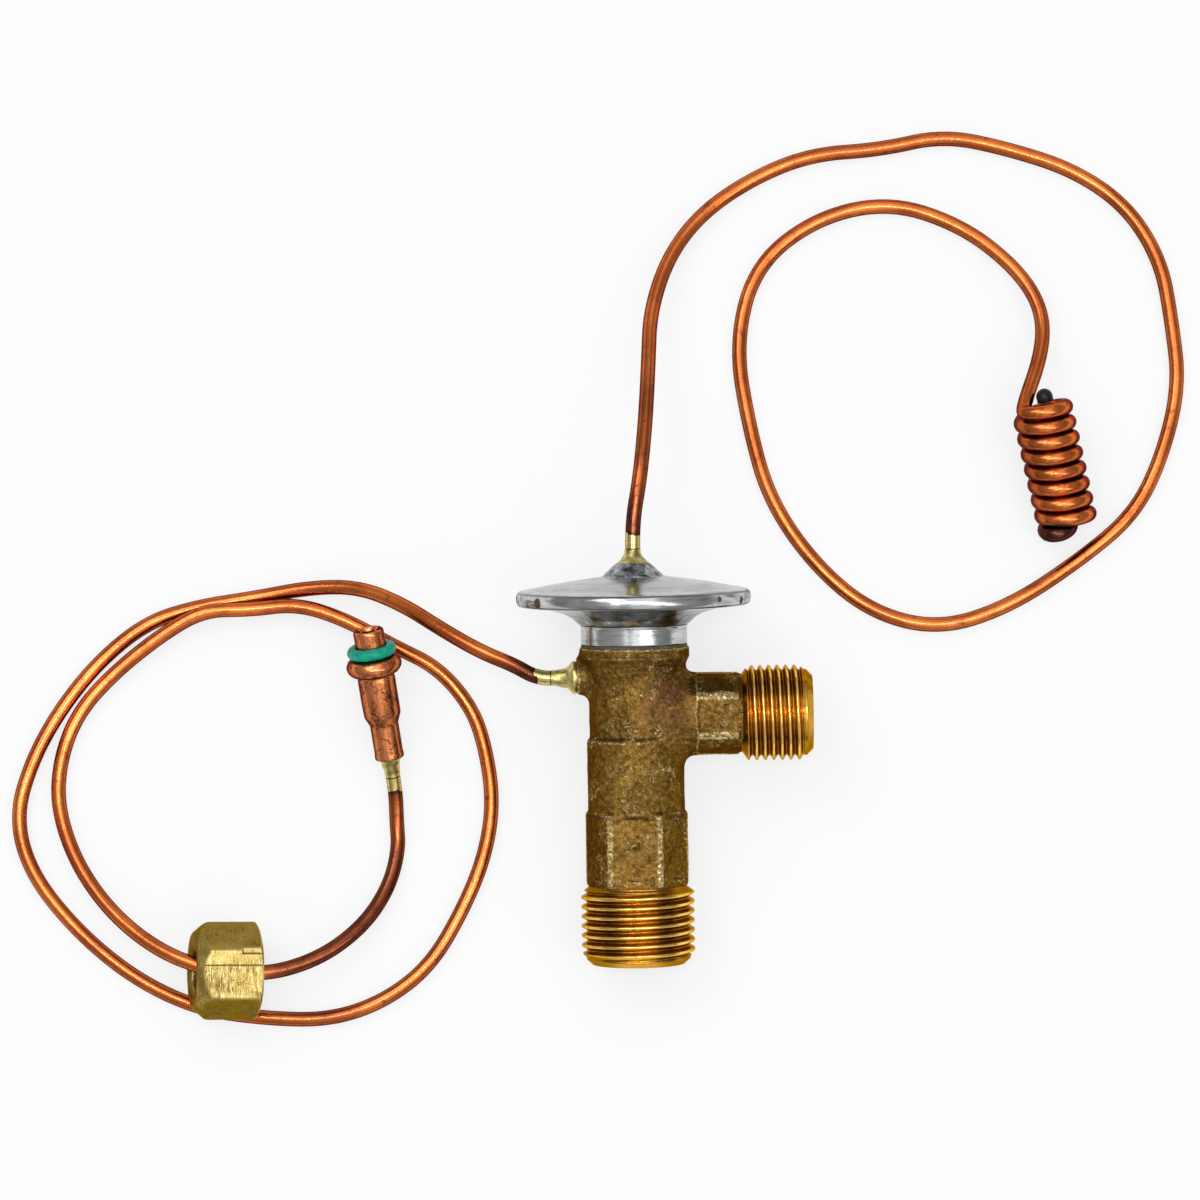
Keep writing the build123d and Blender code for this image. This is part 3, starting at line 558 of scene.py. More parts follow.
# Real dirt in grooves and specks, and painted shade in the nut's hollows
NUT_DIRT_AND_SHADE = (0.07, 0.045, 0.015)
BRAZE_OLIVE = (0.38, 0.32, 0.11)
BRAZE_PORE = (0.09, 0.06, 0.03)
BRAZE_SHINE = (0.95, 0.92, 0.78)
COPPER_SPECK = (0.08, 0.026, 0.014)
COPPER_RUB = (0.98, 0.36, 0.13)
COPPER_CLEAN = (1.0, 0.40, 0.17)
COPPER_BLOT = (0.05, 0.018, 0.012)
COPPER_BURN = (0.10, 0.03, 0.02)
# Painted shade on the sides of the copper tubes
COPPER_SIDE_SHADE = (0.04, 0.014, 0.009)
COAT_STAIN = (0.26, 0.17, 0.05)
COAT_RIM = (0.06, 0.02, 0.012)
STEEL_STREAK = (0.15, 0.16, 0.16)
# Painted darker reflection on the head's dome
STEEL_DOME_REFLECTION = (0.3, 0.31, 0.32)
# Painted shadow under the lower cup of the head
STEEL_UNDER_SHADOW = (0.09, 0.09, 0.08)
STEEL_CONE = (0.09, 0.10, 0.12)
RUST_DARK = (0.025, 0.008, 0.004)
RUST_LIGHT = (0.085, 0.026, 0.010)
STEEL_LINE = (0.06, 0.055, 0.05)
STEEL_SEAM = (0.05, 0.04, 0.035)
BRASS_TINT = (0.6, 0.4, 0.16, 1)
THREAD_TINT = (0.8, 0.5, 0.15, 1)
NUT_TINT = (0.7, 0.5, 0.18, 1)
COPPER_TINT = (0.32, 0.1, 0.05, 1)
STEEL_TINT = (0.82, 0.82, 0.82, 1)

# Rust on the head's rim: a point in the valve's own frame and the spot's radius
RUST_SCARS = (
    (-15.9, -11.3, 60.6, 0.75), (17.7, -8.1, 60.5, 0.5), (14.0, -13.5, 61.0, 0.3),
    (-19.2, -2.0, 60.8, 0.8),
)
# Where the braze has run out along a tube: the frame of its joint and the coat's edge on its Z
CAPILLARY_COATS = [(VALVE_FRAME, 71.2)]
EQUALISER_COATS = [(BOSS_FRAME, 16.2), (TAIL_FRAME, 3.0)]
# Burnt places of the copper: a point, where the burn is full, where it ends, and how dark it is
CAPILLARY_BURNS = [
    (laid(0, 0, 73.0), 1.5, 9.0, 1.0), ((-2.5, 57.0, 19.0), 5.0, 17.0, 0.5),
    (COIL_FRAME @ Vector((-1.9, 3.2, 22.6)), 3.4, 4.3, 1.6),
]
EQUALISER_BURNS = [
    (laid(-17.5, 0, BOSS_Z), 1.5, 8.0, 1.0), (TAIL_FRAME.translation, 1.5, 14.0, 0.8),
    ((-46.7, -20.0, 2.1), 6.0, 15.0, 0.85), ((-58.5, -31.9, 5.8), 6.0, 15.0, 0.85),
]


def forged_brass(colours):
    """Dull olive-brown forged brass: grainy, stained, rubbed bright along its edges, with painted shade on
    its sides, on the upper face of the arm's hexagon and in its hollows.
    """
    f = Finish("forged_brass")
    broad, fine, speck = f.noise(5.5, 4), f.noise(0.8, 5, 0.68), f.noise(0.3, 2)
    f.base = f.mix(broad.between(0.35, 0.68), colours.forged_dark, colours.forged)
    f.paint(fine.between(0.5, 0.62) * 0.62, colours.forged_light)
    f.paint(fine.between(0.48, 0.37) * 0.65, GRAIN_DARK)
    tint = f.away(laid(5.6, -7.0, 43.5)).between(7.0, 1.5) * f.noise(1.8, 4).between(0.25, 0.62)
    f.paint(tint * 0.75, colours.heat_tint)
    # Painted shade: darker on the sides that turn away from the top, and on the upper face of the arm's
    # hexagon
    sides = f.lifted().between(0.8, 0.1) * (broad * 0.5 + 0.5)
    arm_top_shade = f.along(ARM_FRAME, 8.5).between(0.0, 1.0) * f.along(VALVE_FRAME, 44.9).between(-0.1, 0.2)
    sides = sides.largest(arm_top_shade * 0.55)
    f.paint(sides, BRASS_SIDE_SHADE)
    # Painted shade in the hollows, which are also made rougher and less metallic
    hollow = f.mark("hollow").between(0.1, 0.5)
    f.paint(hollow * 0.85, BRASS_HOLLOW_SHADE)
    cracks = f.veins(1.4, 0.026) * f.noise(2.6, 3).between(0.46, 0.56) * 0.8
    pits = (f.spots(1.1).between(0.2, 0.06) * f.noise(2.6, 3).between(0.54, 0.64)).largest(cracks)
    f.paint(pits * 0.6, BRASS_PIT)
    chips = f.noise(0.5, 4, 0.7).between(0.46, 0.58)
    wear = (f.mark("wear").between(0.25, 0.9) * (chips * 0.85 + 0.15)).smallest(1.0)
    flecks = f.veins(1.15, 0.034, 1.4) * f.noise(4.0, 3).between(0.54, 0.6) * chips
    bright = (wear + flecks * 0.9).smallest(1.0)
    f.paint(bright, colours.worn_brass)
    rough = 0.44 + (fine - 0.5) * 0.45 - bright * 0.14 + hollow * 0.1
    height = fine * 0.8 + speck * 0.3 + broad * 0.4 - pits * 0.25 + bright * 0.15
    f.done(rough, 1.0 - hollow * 0.35, height, 0.28, specular_tint=BRASS_TINT)


def cut_brass(colours):
    """Turned golden brass of the threads: painted highlight on the crests, painted shade in the brown roots
    and on the sides away from the top.
    """
    f = Finish("cut_brass")
    crest = f.mark("crest")
    stain = f.noise(1.6, 4).between(0.38, 0.7)
    # The roots take a darker colour than the crests, as painted shade
    f.base = f.mix(crest.between(0.2, 0.9), colours.thread_root_shade, colours.thread)
    # Painted shade: the threads darker everywhere but along their very top
    f.paint(f.mark("top").between(0.99, 0.8) * 0.5, THREAD_OFF_TOP_SHADE)
    f.paint((1 - crest) * stain * 0.35, THREAD_STAIN)
    # Painted highlight along the crests
    f.paint(crest.between(0.78, 0.98) * (1 - stain * 0.4), THREAD_CREST_HIGHLIGHT)
    # Painted shade on the sides that turn away from the top
    f.paint(f.lifted().between(0.6, 0.0) * 0.4, THREAD_SIDE_SHADE)
    dirt = f.noise(0.5, 3, 0.7).between(0.6, 0.75) * (1 - crest * 0.8)
    f.paint(dirt * 0.8, THREAD_DIRT)
    rough = 0.1 + (1 - crest) * 0.06 + f.noise(0.7, 3) * 0.1
    height = f.noise(0.3, 3) * 0.5 + f.noise(1.2, 2)
    f.done(rough, 1.0 - dirt * 0.5, height, 0.03, specular_tint=THREAD_TINT)


def pale_brass(colours, place, name="pale_brass", scribed=False):
    """Pale machined brass with scratches, dark specks and a scribed line, with painted shade on the faces
    turned away from the top and in the hollows.
    """
    f = Finish(name)
    broad, lifted = f.noise(4.5, 3), f.lifted()
    lines = f.noise(1.0, 4, 0.7, at=f.stretched(0.6, 0.6, 9.0, place))
    f.base = f.mix(broad.between(0.3, 0.7), colours.nut_dark, colours.nut)
    # Painted shade on the faces that turn away from the top
    f.paint(lifted.between(0.93, 0.3) * (broad * 0.6 + 0.4), NUT_SIDE_SHADE)
    scratch = lines.between(0.52, 0.62) * f.noise(2.2, 3).between(0.4, 0.55)
    scratch = scratch * (lifted.between(0.7, 0.97) * 0.85 + 0.15)
    f.paint(scratch * 0.8, NUT_SCRATCH)
    f.paint(f.mark("wear").between(0.25, 0.9) * 0.85, NUT_EDGE)
    grooves = lines.between(0.47, 0.4) * f.noise(2.9, 3).between(0.45, 0.6) * 0.6
    speck = f.veins(1.3, 0.03) * f.noise(3.0, 2).between(0.5, 0.58) * lifted.between(1.0, 0.7)
    # Dark grooves, specks and the scribed line are real marks; the darkening in the hollows is painted
    # shade
    dark = (speck.largest(grooves) + f.mark("hollow").between(0.15, 0.6) * 0.8).smallest(1.0)
    if scribed:
        across = place @ Matrix.Rotation(NUT_TURN, 4, "Z") @ Matrix.Rotation(math.pi / 2, 4, "Y")
        edge = f.along(across) - 1.55
        dark = dark.largest((edge * edge).between(0.022, 0.006) * lifted.between(0.9, 0.97))
    f.paint(dark * 0.8, NUT_DIRT_AND_SHADE)
    rough = 0.32 + broad * 0.12 - scratch * 0.1 + dark * 0.15
    height = lines * 0.5 + f.noise(0.35, 3) * 0.5 - dark * 0.4
    f.done(rough, 1.0 - dark * 0.4, height, 0.06, specular_tint=NUT_TINT)


def braze_metal(colours):
    """Pale braze: smooth lumps, olive stains and small dark pores."""
    f = Finish("braze")
    broad = f.noise(1.6, 4)
    f.base = f.mix(broad.between(0.36, 0.66), BRAZE_OLIVE, colours.braze)
    pore = f.noise(0.4, 3, 0.7).between(0.64, 0.72)
    f.paint(pore * 0.75, BRAZE_PORE)
    f.paint(f.noise(2.4, 3).between(0.62, 0.72) * 0.6, BRAZE_SHINE)
    f.done(0.26 + broad * 0.16, 1.0 - pore * 0.4, f.noise(1.1, 3) + pore * -0.3, 0.12)


def drawn_copper(colours, name, coats, burns, marked=0.0):
    """Drawn copper: stained, with painted shade on its sides, rubbed bright here and there."""
    f = Finish(name)
    broad, mid, fine = f.noise(9.0, 3), f.noise(2.2, 4, 0.65), f.noise(0.55, 4, 0.7)
    f.base = f.mix(broad.between(0.3, 0.7), colours.copper_dark, colours.copper)
    f.paint(mid.between(0.56, 0.72) * 0.6, colours.copper_stain)
    f.paint(fine.between(0.6, 0.7) * mid.between(0.46, 0.62) * 0.8, COPPER_SPECK)
    rub = f.noise(1.3, 4, 0.7, bend=0.8).between(0.6, 0.7)
    f.paint(rub * 0.5, COPPER_RUB)
    if marked:
        f.paint(broad.between(0.3, 0.7) * 0.3 + 0.3, COPPER_CLEAN)
        lines = f.veins(2.2, 0.025, 0.3) * f.noise(3.0, 2).between(0.44, 0.56)
        blots = f.noise(1.5, 5, 0.75, bend=0.8).between(0.56, 0.62) * f.noise(5.0, 2).between(0.48, 0.6)
        f.paint((lines + blots).smallest(1.0) * marked, COPPER_BLOT)
    for point, near, far, strength in burns:
        burn = f.away(point).between(far, near) * (0.45 + mid * 0.9) * strength
        f.paint(burn.smallest(1.0), COPPER_BURN)
    # Painted shade: darker where the tube's surface turns away from the top
    side = f.lifted().between(0.82, 0.3) * (0.8 + (mid - 0.5) * 0.8)
    f.paint(side.smallest(0.93), COPPER_SIDE_SHADE)
    rough = 0.23 + (mid - 0.5) * 0.14 + (broad - 0.5) * 0.1
    metal = 1.0 - fine.between(0.6, 0.75) * 0.3
    for place, edge in coats:
        ragged = f.along(place, edge) + (f.noise(1.6, 2) - 0.5) * 2.2
        close = f.away(place @ Vector((0, 0, edge))).between(9.0, 8.0)
        coat = ragged.between(0.1, -0.1) * close
        rim = ragged.between(-0.15, 0.1) * ragged.between(0.9, 0.3) * close
        alloy = f.mix(fine.between(0.5, 0.7) * 0.8, colours.braze, COAT_STAIN)
        seam = f.along(place, edge - 2.3)
        rim = rim.largest((seam * seam).between(0.02, 0.006) * close)
        f.paint(coat, alloy)
        f.paint(rim * 0.85, COAT_RIM)
    height = mid * 0.6 + fine * 0.12 + broad * 0.8
    f.done(
        rough, metal, height, 0.06,
        specular_tint=COPPER_TINT, coat_weight=0.12, coat_roughness=0.1,
    )


def plated_steel(colours):
    """Bright zinc plate with soft dark streaks, and rust at the rim and in spots, with a painted darker
    reflection on the dome and a painted shadow under the lower cup.
    """
    f = Finish("zinc_steel")
    local = f.along(VALVE_FRAME)
    broad = f.noise(3.4, 3)
    streak = f.noise(2.4, 4, 0.6, at=f.stretched(0.55, 0.55, 4.0, VALVE_FRAME))
    f.base = f.mix(broad.between(0.35, 0.7), colours.steel_dark, colours.steel)
    f.paint(streak.between(0.46, 0.68) * 0.42, STEEL_STREAK)
    # Painted reflection: the dome darker, mottled by a broad noise
    dome_reflection = local.between(62.2, 62.7) * local.between(64.6, 64.2) * f.noise(7.0, 2).between(0.3, 0.7)
    f.paint(dome_reflection * 0.4 + local.between(62.2, 62.7) * 0.12, STEEL_DOME_REFLECTION)
    # Painted shadow on the underside of the lower cup, above the collar
    below = local.between(59.3, 58.7) * local.between(56.2, 56.6)
    f.paint(below * f.noise(2.2, 3).between(0.3, 0.5) * 0.75, STEEL_UNDER_SHADOW)
    cone = local.between(64.2, 64.6) * f.noise(1.5, 4, 0.7).between(0.38, 0.6)
    f.paint((cone * 0.9 + 0.1) * local.between(64.2, 64.6), STEEL_CONE)
    ends = f.away(laid(-19.5, 0, 60.7)).smallest(f.away(laid(19.5, 0, 60.7))).between(9.0, 3.0)
    rust = f.mark("rim") * ends * f.noise(1.7, 4, 0.7).between(0.52, 0.56)
    spots = f.noise(0.8, 4, 0.75).between(0.66, 0.7) * f.noise(5.0, 2).between(0.45, 0.6)
    rust = rust.largest(spots * (f.mark("rim") * 0.6 + 0.4))
    for *at, wide in RUST_SCARS:
        rust = rust.largest(f.away(laid(*at)).between(wide + 0.35, wide))
    f.paint(rust * 0.95, f.mix(f.noise(0.5, 3), RUST_DARK, RUST_LIGHT))
    upper, lower = local - 61.85, local - 59.8
    lines = (upper * upper).between(0.03, 0.008).largest((lower * lower).between(0.03, 0.008))
    f.paint(lines * f.mark("rim").between(0.1, 0.5) * 0.7, STEEL_LINE)
    seam = local.between(53.35, 53.1) * local.between(52.6, 52.8)
    f.paint(seam * 0.85, STEEL_SEAM)
    rough = 0.13 + broad * 0.09 + rust * 0.4 + streak.between(0.5, 0.8) * 0.08
    height = f.noise(0.35, 3) * 0.4 + broad * 0.5 + rust * 0.4
    f.done(rough, 1.0 - rust * 0.8, height, 0.04, specular_tint=STEEL_TINT)


def plain_metal(name, colour, rough, grit=0.4):
    """Machined metal of the inner pieces: fine tool marks and a little staining."""
    f = Finish(name)
    fine, broad = f.noise(0.3, 4, 0.7), f.noise(1.8, 3)
    f.base = f.mix(broad.between(0.3, 0.7), tuple(c * 0.62 for c in colour), colour)
    f.paint(fine.between(0.62, 0.75) * grit, tuple(c * 0.2 for c in colour))
    f.done(rough + (broad - 0.5) * 0.12, 1.0, fine * 0.5 + broad * 0.4, 0.02)


def soft_stuff(name, colour, rough, coat=0.0, grit=0.3):
    """Rubber, fibre or dark lacquer: faint mottling, dust and a fine skin."""
    f = Finish(name)
    fine, broad = f.noise(0.35, 4, 0.65), f.noise(1.5, 3)
    f.base = f.mix(broad.between(0.3, 0.75), colour, tuple(min(1, c * 1.6 + 0.01) for c in colour))
    f.paint(fine.between(0.6, 0.75) * grit, tuple(c * 0.45 for c in colour))
    height = fine * 0.6 + broad * 0.5
    f.done(rough + (fine - 0.5) * 0.25, 0.0, height, 0.03, coat_weight=coat, specular_ior_level=0.2)


# Sizes and colours that a user may change


def shade(name, words, value):
    return bpy.props.FloatVectorProperty(
        name=name, description=words, default=value, size=3, min=0.0, max=1.0, subtype="COLOR"
    )


def size(name, words, value):
    return bpy.props.FloatProperty(
        name=name, description=words, default=value * MM, unit="LENGTH", precision=5
    )


class ValveColours(bpy.types.PropertyGroup):
    forged: shade("Forged brass", "Main colour of the forged body", (0.272, 0.149, 0.03))
    forged_dark: shade("Forged brass, dark", "Stained parts of the forged body", (0.165, 0.088, 0.02))
    forged_light: shade("Forged brass, light", "Rubbed grain of the forged body", (0.47, 0.285, 0.065))
    worn_brass: shade("Worn brass", "Edges and scratches rubbed bright", (0.95, 0.76, 0.38))
    heat_tint: shade("Heat tint", "Brown tint beside the inlet arm", (0.13, 0.05, 0.03))
    thread: shade("Thread flank", "Turned brass of the two threads", (0.80, 0.44, 0.06))
    # The thread root colour is painted shade
    thread_root_shade: shade("Thread root", "Bottom of the two threads", (0.50, 0.235, 0.035))
    nut: shade("Union nut", "Pale brass of the union nut", (0.62, 0.44, 0.125))
    nut_dark: shade("Union nut, dark", "Stained brass of the union nut", (0.34, 0.225, 0.055))
    braze: shade("Braze", "Pale braze joints", (0.74, 0.62, 0.23))
    copper: shade("Copper", "Clean drawn copper", (0.95, 0.24, 0.058))
    copper_dark: shade("Copper, dark", "Darkened drawn copper", (0.60, 0.14, 0.035))
    copper_stain: shade("Copper stain", "Brown stains on the copper", (0.19, 0.05, 0.022))
    steel: shade("Zinc plate", "Bright plated steel of the head", (0.62, 0.63, 0.63))
    steel_dark: shade("Zinc plate, dull", "Dull areas of the plating", (0.50, 0.51, 0.51))
    seal: shade("Ring seal", "Green ring seal of the end fitting", (0.0, 0.25, 0.165))
    cap: shade("Sealed end", "Dark sealed end of the coil", (0.005, 0.0045, 0.0045))


class ValveSizes(bpy.types.PropertyGroup):
    tube: size("Tube radius", "Outside radius of both copper tubes", 1.25)
    outlet_crest: size("Outlet thread radius", "Crest radius of the outlet thread", 9.42)
    outlet_pitch: size("Outlet thread pitch", "Pitch of the outlet thread", 1.5875)
    inlet_crest: size("Inlet thread radius", "Crest radius of the inlet thread", 7.9)
    inlet_pitch: size("Inlet thread pitch", "Pitch of the inlet thread", 1.411)
    rim: size("Head rim radius", "Radius of the rolled rim of the head", 19.45)
    coil: size("Coil radius", "Radius of the sensing coil at the middle of its tube", 3.92)
    coil_pitch: size("Coil pitch", "Distance from turn to turn of the sensing coil", 2.69)
    seal: size("Ring seal section", "Radius of the section of the green ring", 0.95)
    grain: size("Forging grain", "Height of the unevenness of forged faces", 0.07)


def sizes():
    return bpy.context.scene.valve_sizes


def colours():
    return bpy.context.scene.valve_colours


# The coil: where its first turn starts, how many turns it has and how many points draw a turn
COIL_START, COIL_TURNS, COIL_STEPS = math.radians(135), 7 + 315 / 360, 16
COIL_LEAD = 45 / 360
# Its closing turn, as steps across, onward and down the axis, and the heights of the tail
COIL_CLOSING = ((0.3, 2.9, 0.0), (1.9, 3.65, 0.15), (3.4, 2.9, 0.1), (4.3, 1.3, -0.2), (4.7, -0.3, -1.6))
COIL_TAIL = (4.0, 8.0, 12.0, 16.0, 19.4, 21.0)
TAIL_PAST_AXIS = 0.85
# The coil is drawn thicker than the tube, from its fifth point on, so that its turns close up
COIL_SWELL, COIL_SWELL_FROM = 1.055, 4


def cord_curve(name, points, finish):
    """One smooth spline through a tube's route, with a round section."""
    curve = bpy.data.curves.new(name, "CURVE")
    curve.dimensions = "3D"
    spline = curve.splines.new("NURBS")
    spline.points.add(len(points) - 1)
    for point, where in zip(spline.points, points):
        point.co = (*(Vector(where) * MM), 1)
    spline.order_u = 3
    spline.use_endpoint_u = True
    spline.resolution_u = 8
    curve.bevel_depth = sizes().tube
    curve.bevel_resolution = 5
    curve.use_fill_caps = True
    piece = bpy.data.objects.new(name, curve)
    bpy.context.scene.collection.objects.link(piece)
    give_finish(piece, finish)
    return piece


def coil_points():
    """The sensing element: eight turns, a narrow closing turn and the tail up the middle."""
    s = sizes()
    radius, pitch = s.coil / MM, s.coil_pitch / MM
    axis = (COIL_BOTTOM - COIL_TOP).normalized()
    side = Vector((-axis.y, axis.x, 0)).normalized()
    over = axis.cross(side)
    step = 2 * math.pi / COIL_STEPS

    def on_helix(turn, r):
        a = COIL_START - 2 * math.pi * turn
        drop = pitch * (turn - COIL_LEAD)
        return COIL_TOP + side * (r * math.cos(a)) + over * (r * math.sin(a)) + axis * drop

    # The spline runs inside its points, so these stand further out than the coil's own radius
    wide = radius / (0.5 * math.cos(step / 2) + 0.375 + 0.125 * math.cos(step))
    total = round(COIL_TURNS * COIL_STEPS)
    points = [on_helix(k * COIL_TURNS / total, wide) for k in range(-1, total + 1)]
    last = on_helix(COIL_TURNS, radius)
    onward = last - on_helix(COIL_TURNS - 0.01, radius)
    onward = (onward - axis * onward.dot(axis)).normalized()
    points += [last + side * a + onward * b + axis * c for a, b, c in COIL_CLOSING]
    points += [last + side * (radius + TAIL_PAST_AXIS) - axis * rise for rise in COIL_TAIL]
    return points


# Operators


class VALVE_OT_finishes(bpy.types.Operator):
    """Make every finish of the valve"""

    bl_idname = "valve.finishes"
    bl_label = "Finishes"

    def execute(self, context):
        c = colours()
        forged_brass(c)
        cut_brass(c)
        pale_brass(c, NUT_FRAME, scribed=True)
        pale_brass(c, VALVE_FRAME, "inner_brass")
        braze_metal(c)
        drawn_copper(c, "capillary_copper", CAPILLARY_COATS, CAPILLARY_BURNS)
        drawn_copper(c, "equaliser_copper", EQUALISER_COATS, EQUALISER_BURNS)
        drawn_copper(c, "fitting_copper", [], [], 0.8)
        plated_steel(c)
        plain_metal("stainless", (0.62, 0.62, 0.61), 0.28)
        soft_stuff("dark_cap", tuple(c.cap), 0.32, 0.15)
        soft_stuff("green_rubber", tuple(c.seal), 0.36)
        soft_stuff("black_rubber", (0.03, 0.03, 0.03), 0.5)
        soft_stuff("gasket_fibre", (0.09, 0.075, 0.06), 0.8)
        return {"FINISHED"}


class VALVE_OT_capillary(bpy.types.Operator):
    """Lay the capillary and its sensing coil as one tube, and close its end"""

    bl_idname = "valve.capillary"
    bl_label = "Capillary and coil"

    def execute(self, context):
        cord = cord_curve("capillary", CAPILLARY_ROUTE + coil_points(), "capillary_copper")
        for point in cord.data.splines[0].points[len(CAPILLARY_ROUTE) + COIL_SWELL_FROM:]:
            point.radius = COIL_SWELL
        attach(cord, "valve")
        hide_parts("capillary_tube", "sensing_coil")
        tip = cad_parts["coil_end_seal"]
        give_finish(tip, "dark_cap")
        return {"FINISHED"}


# The forged body. A bar is its radius and its two ends along its own axis
UPPER_MID, UPPER_HALF = 36.35, 16.35
WAIST_R, FLARE_OUT, FLARE_FROM, FLARE_RISE = 7.6, 1.5, 45.8, 5.2
BELLY = (8.05, 25.0, 37.4)
HEX_ACROSS, HEX_CORNER_R, HEX_MID, HEX_HALF = 15.0, 8.6, 18.9, 6.3
HEX_TURN = math.radians(-3.0)
HEX_CHAMFER_R, HEX_CHAMFER_Z = 8.0, 12.8
NECK = (7.7, 12.2, 14.2)
ARM, ARM_NECK = (6.75, 0.0, 10.3), (6.5, 4.0, 18.2)
ARM_ACROSS, ARM_CORNER_R, ARM_HEX_MID, ARM_HEX_HALF = 12.2, 6.95, 12.6, 4.6
BOSS = (2.85, 0.0, 9.5)
OUTLET_BORE, INLET_BORE, HEAD_ROOM = (5.6, -5.0, 28.3), (4.2, 0.0, 40.0), (4.2, 20.0, 45.9)
# The outlet thread, up from its face: depth, lead-in, where it runs out, and the radius there
OUTLET_DEPTH, OUTLET_LEAD_R, OUTLET_LEAD_Z, OUTLET_END_Z, OUTLET_ROOT_R = 0.92, 8.65, 1.1, 11.9, 8.2
# The inlet thread, out along the arm to its face: the same, with the end of the arm last
INLET_DEPTH, INLET_LEAD_R, INLET_LEAD_X, INLET_START_X, INLET_FACE_X = 0.82, 7.15, 28.0, 17.7, 29.4
THREAD_ROWS = 16


def turned(x, y, angle):
    """The coordinates across and along a line that stands at an angle to X."""
    c, s = math.cos(angle), math.sin(angle)
    return y * c - x * s, x * c + y * s


def body_distance(x, y, z):
    """Distance to the forged body, in the valve's own frame."""
    r = np.hypot(x, y)
    flare = WAIST_R + FLARE_OUT * np.clip((z - FLARE_FROM) / FLARE_RISE, 0, 1) ** 2.2
    upper = smooth_high((r - flare) * 0.92, np.abs(z - UPPER_MID) - UPPER_HALF, 0.3)
    out = smooth_low(upper, rod(r, z, *BELLY, 0.45), 0.45)
    # Hexagon with turned corners and a chamfer below
    across, side = turned(x, y, HEX_TURN)
    hexed = smooth_high(six_flats(-across, side, HEX_ACROSS), r - HEX_CORNER_R, 0.35)
    hexed = smooth_high(hexed, np.abs(z - HEX_MID) - HEX_HALF, 0.4)
    hexed = smooth_high(hexed, (r - HEX_CHAMFER_R - (z - HEX_CHAMFER_Z) * 1.1) * 0.67, 0.3)
    out = smooth_low(out, hexed, 0.5)
    out = smooth_low(out, rod(r, z, *NECK, 0.1), 0.2)
    # Inlet arm with its own hexagon
    w = z - ARM_Z
    q = np.hypot(y, w)
    out = smooth_low(out, rod(q, x, *ARM, 0.35), 2.6)
    flats = smooth_high(six_flats(y, w, ARM_ACROSS), q - ARM_CORNER_R, 0.35)
    flats = smooth_high(flats, np.abs(x - ARM_HEX_MID) - ARM_HEX_HALF, 0.4)
    out = smooth_low(out, flats, 0.35)
    out = smooth_low(out, rod(q, x, *ARM_NECK, 0.1), 0.3)
    out = smooth_low(out, rod(np.hypot(y, z - BOSS_Z), -x, *BOSS, 0.45), 1.8)
    bore = smooth_low(rod(r, z, *OUTLET_BORE, 0.2), rod(q, x, *INLET_BORE, 0.2), 0.1)
    bore = smooth_low(bore, rod(r, z, *HEAD_ROOM, 0.2), 0.1)
    return smooth_high(out, -bore, 0.15)


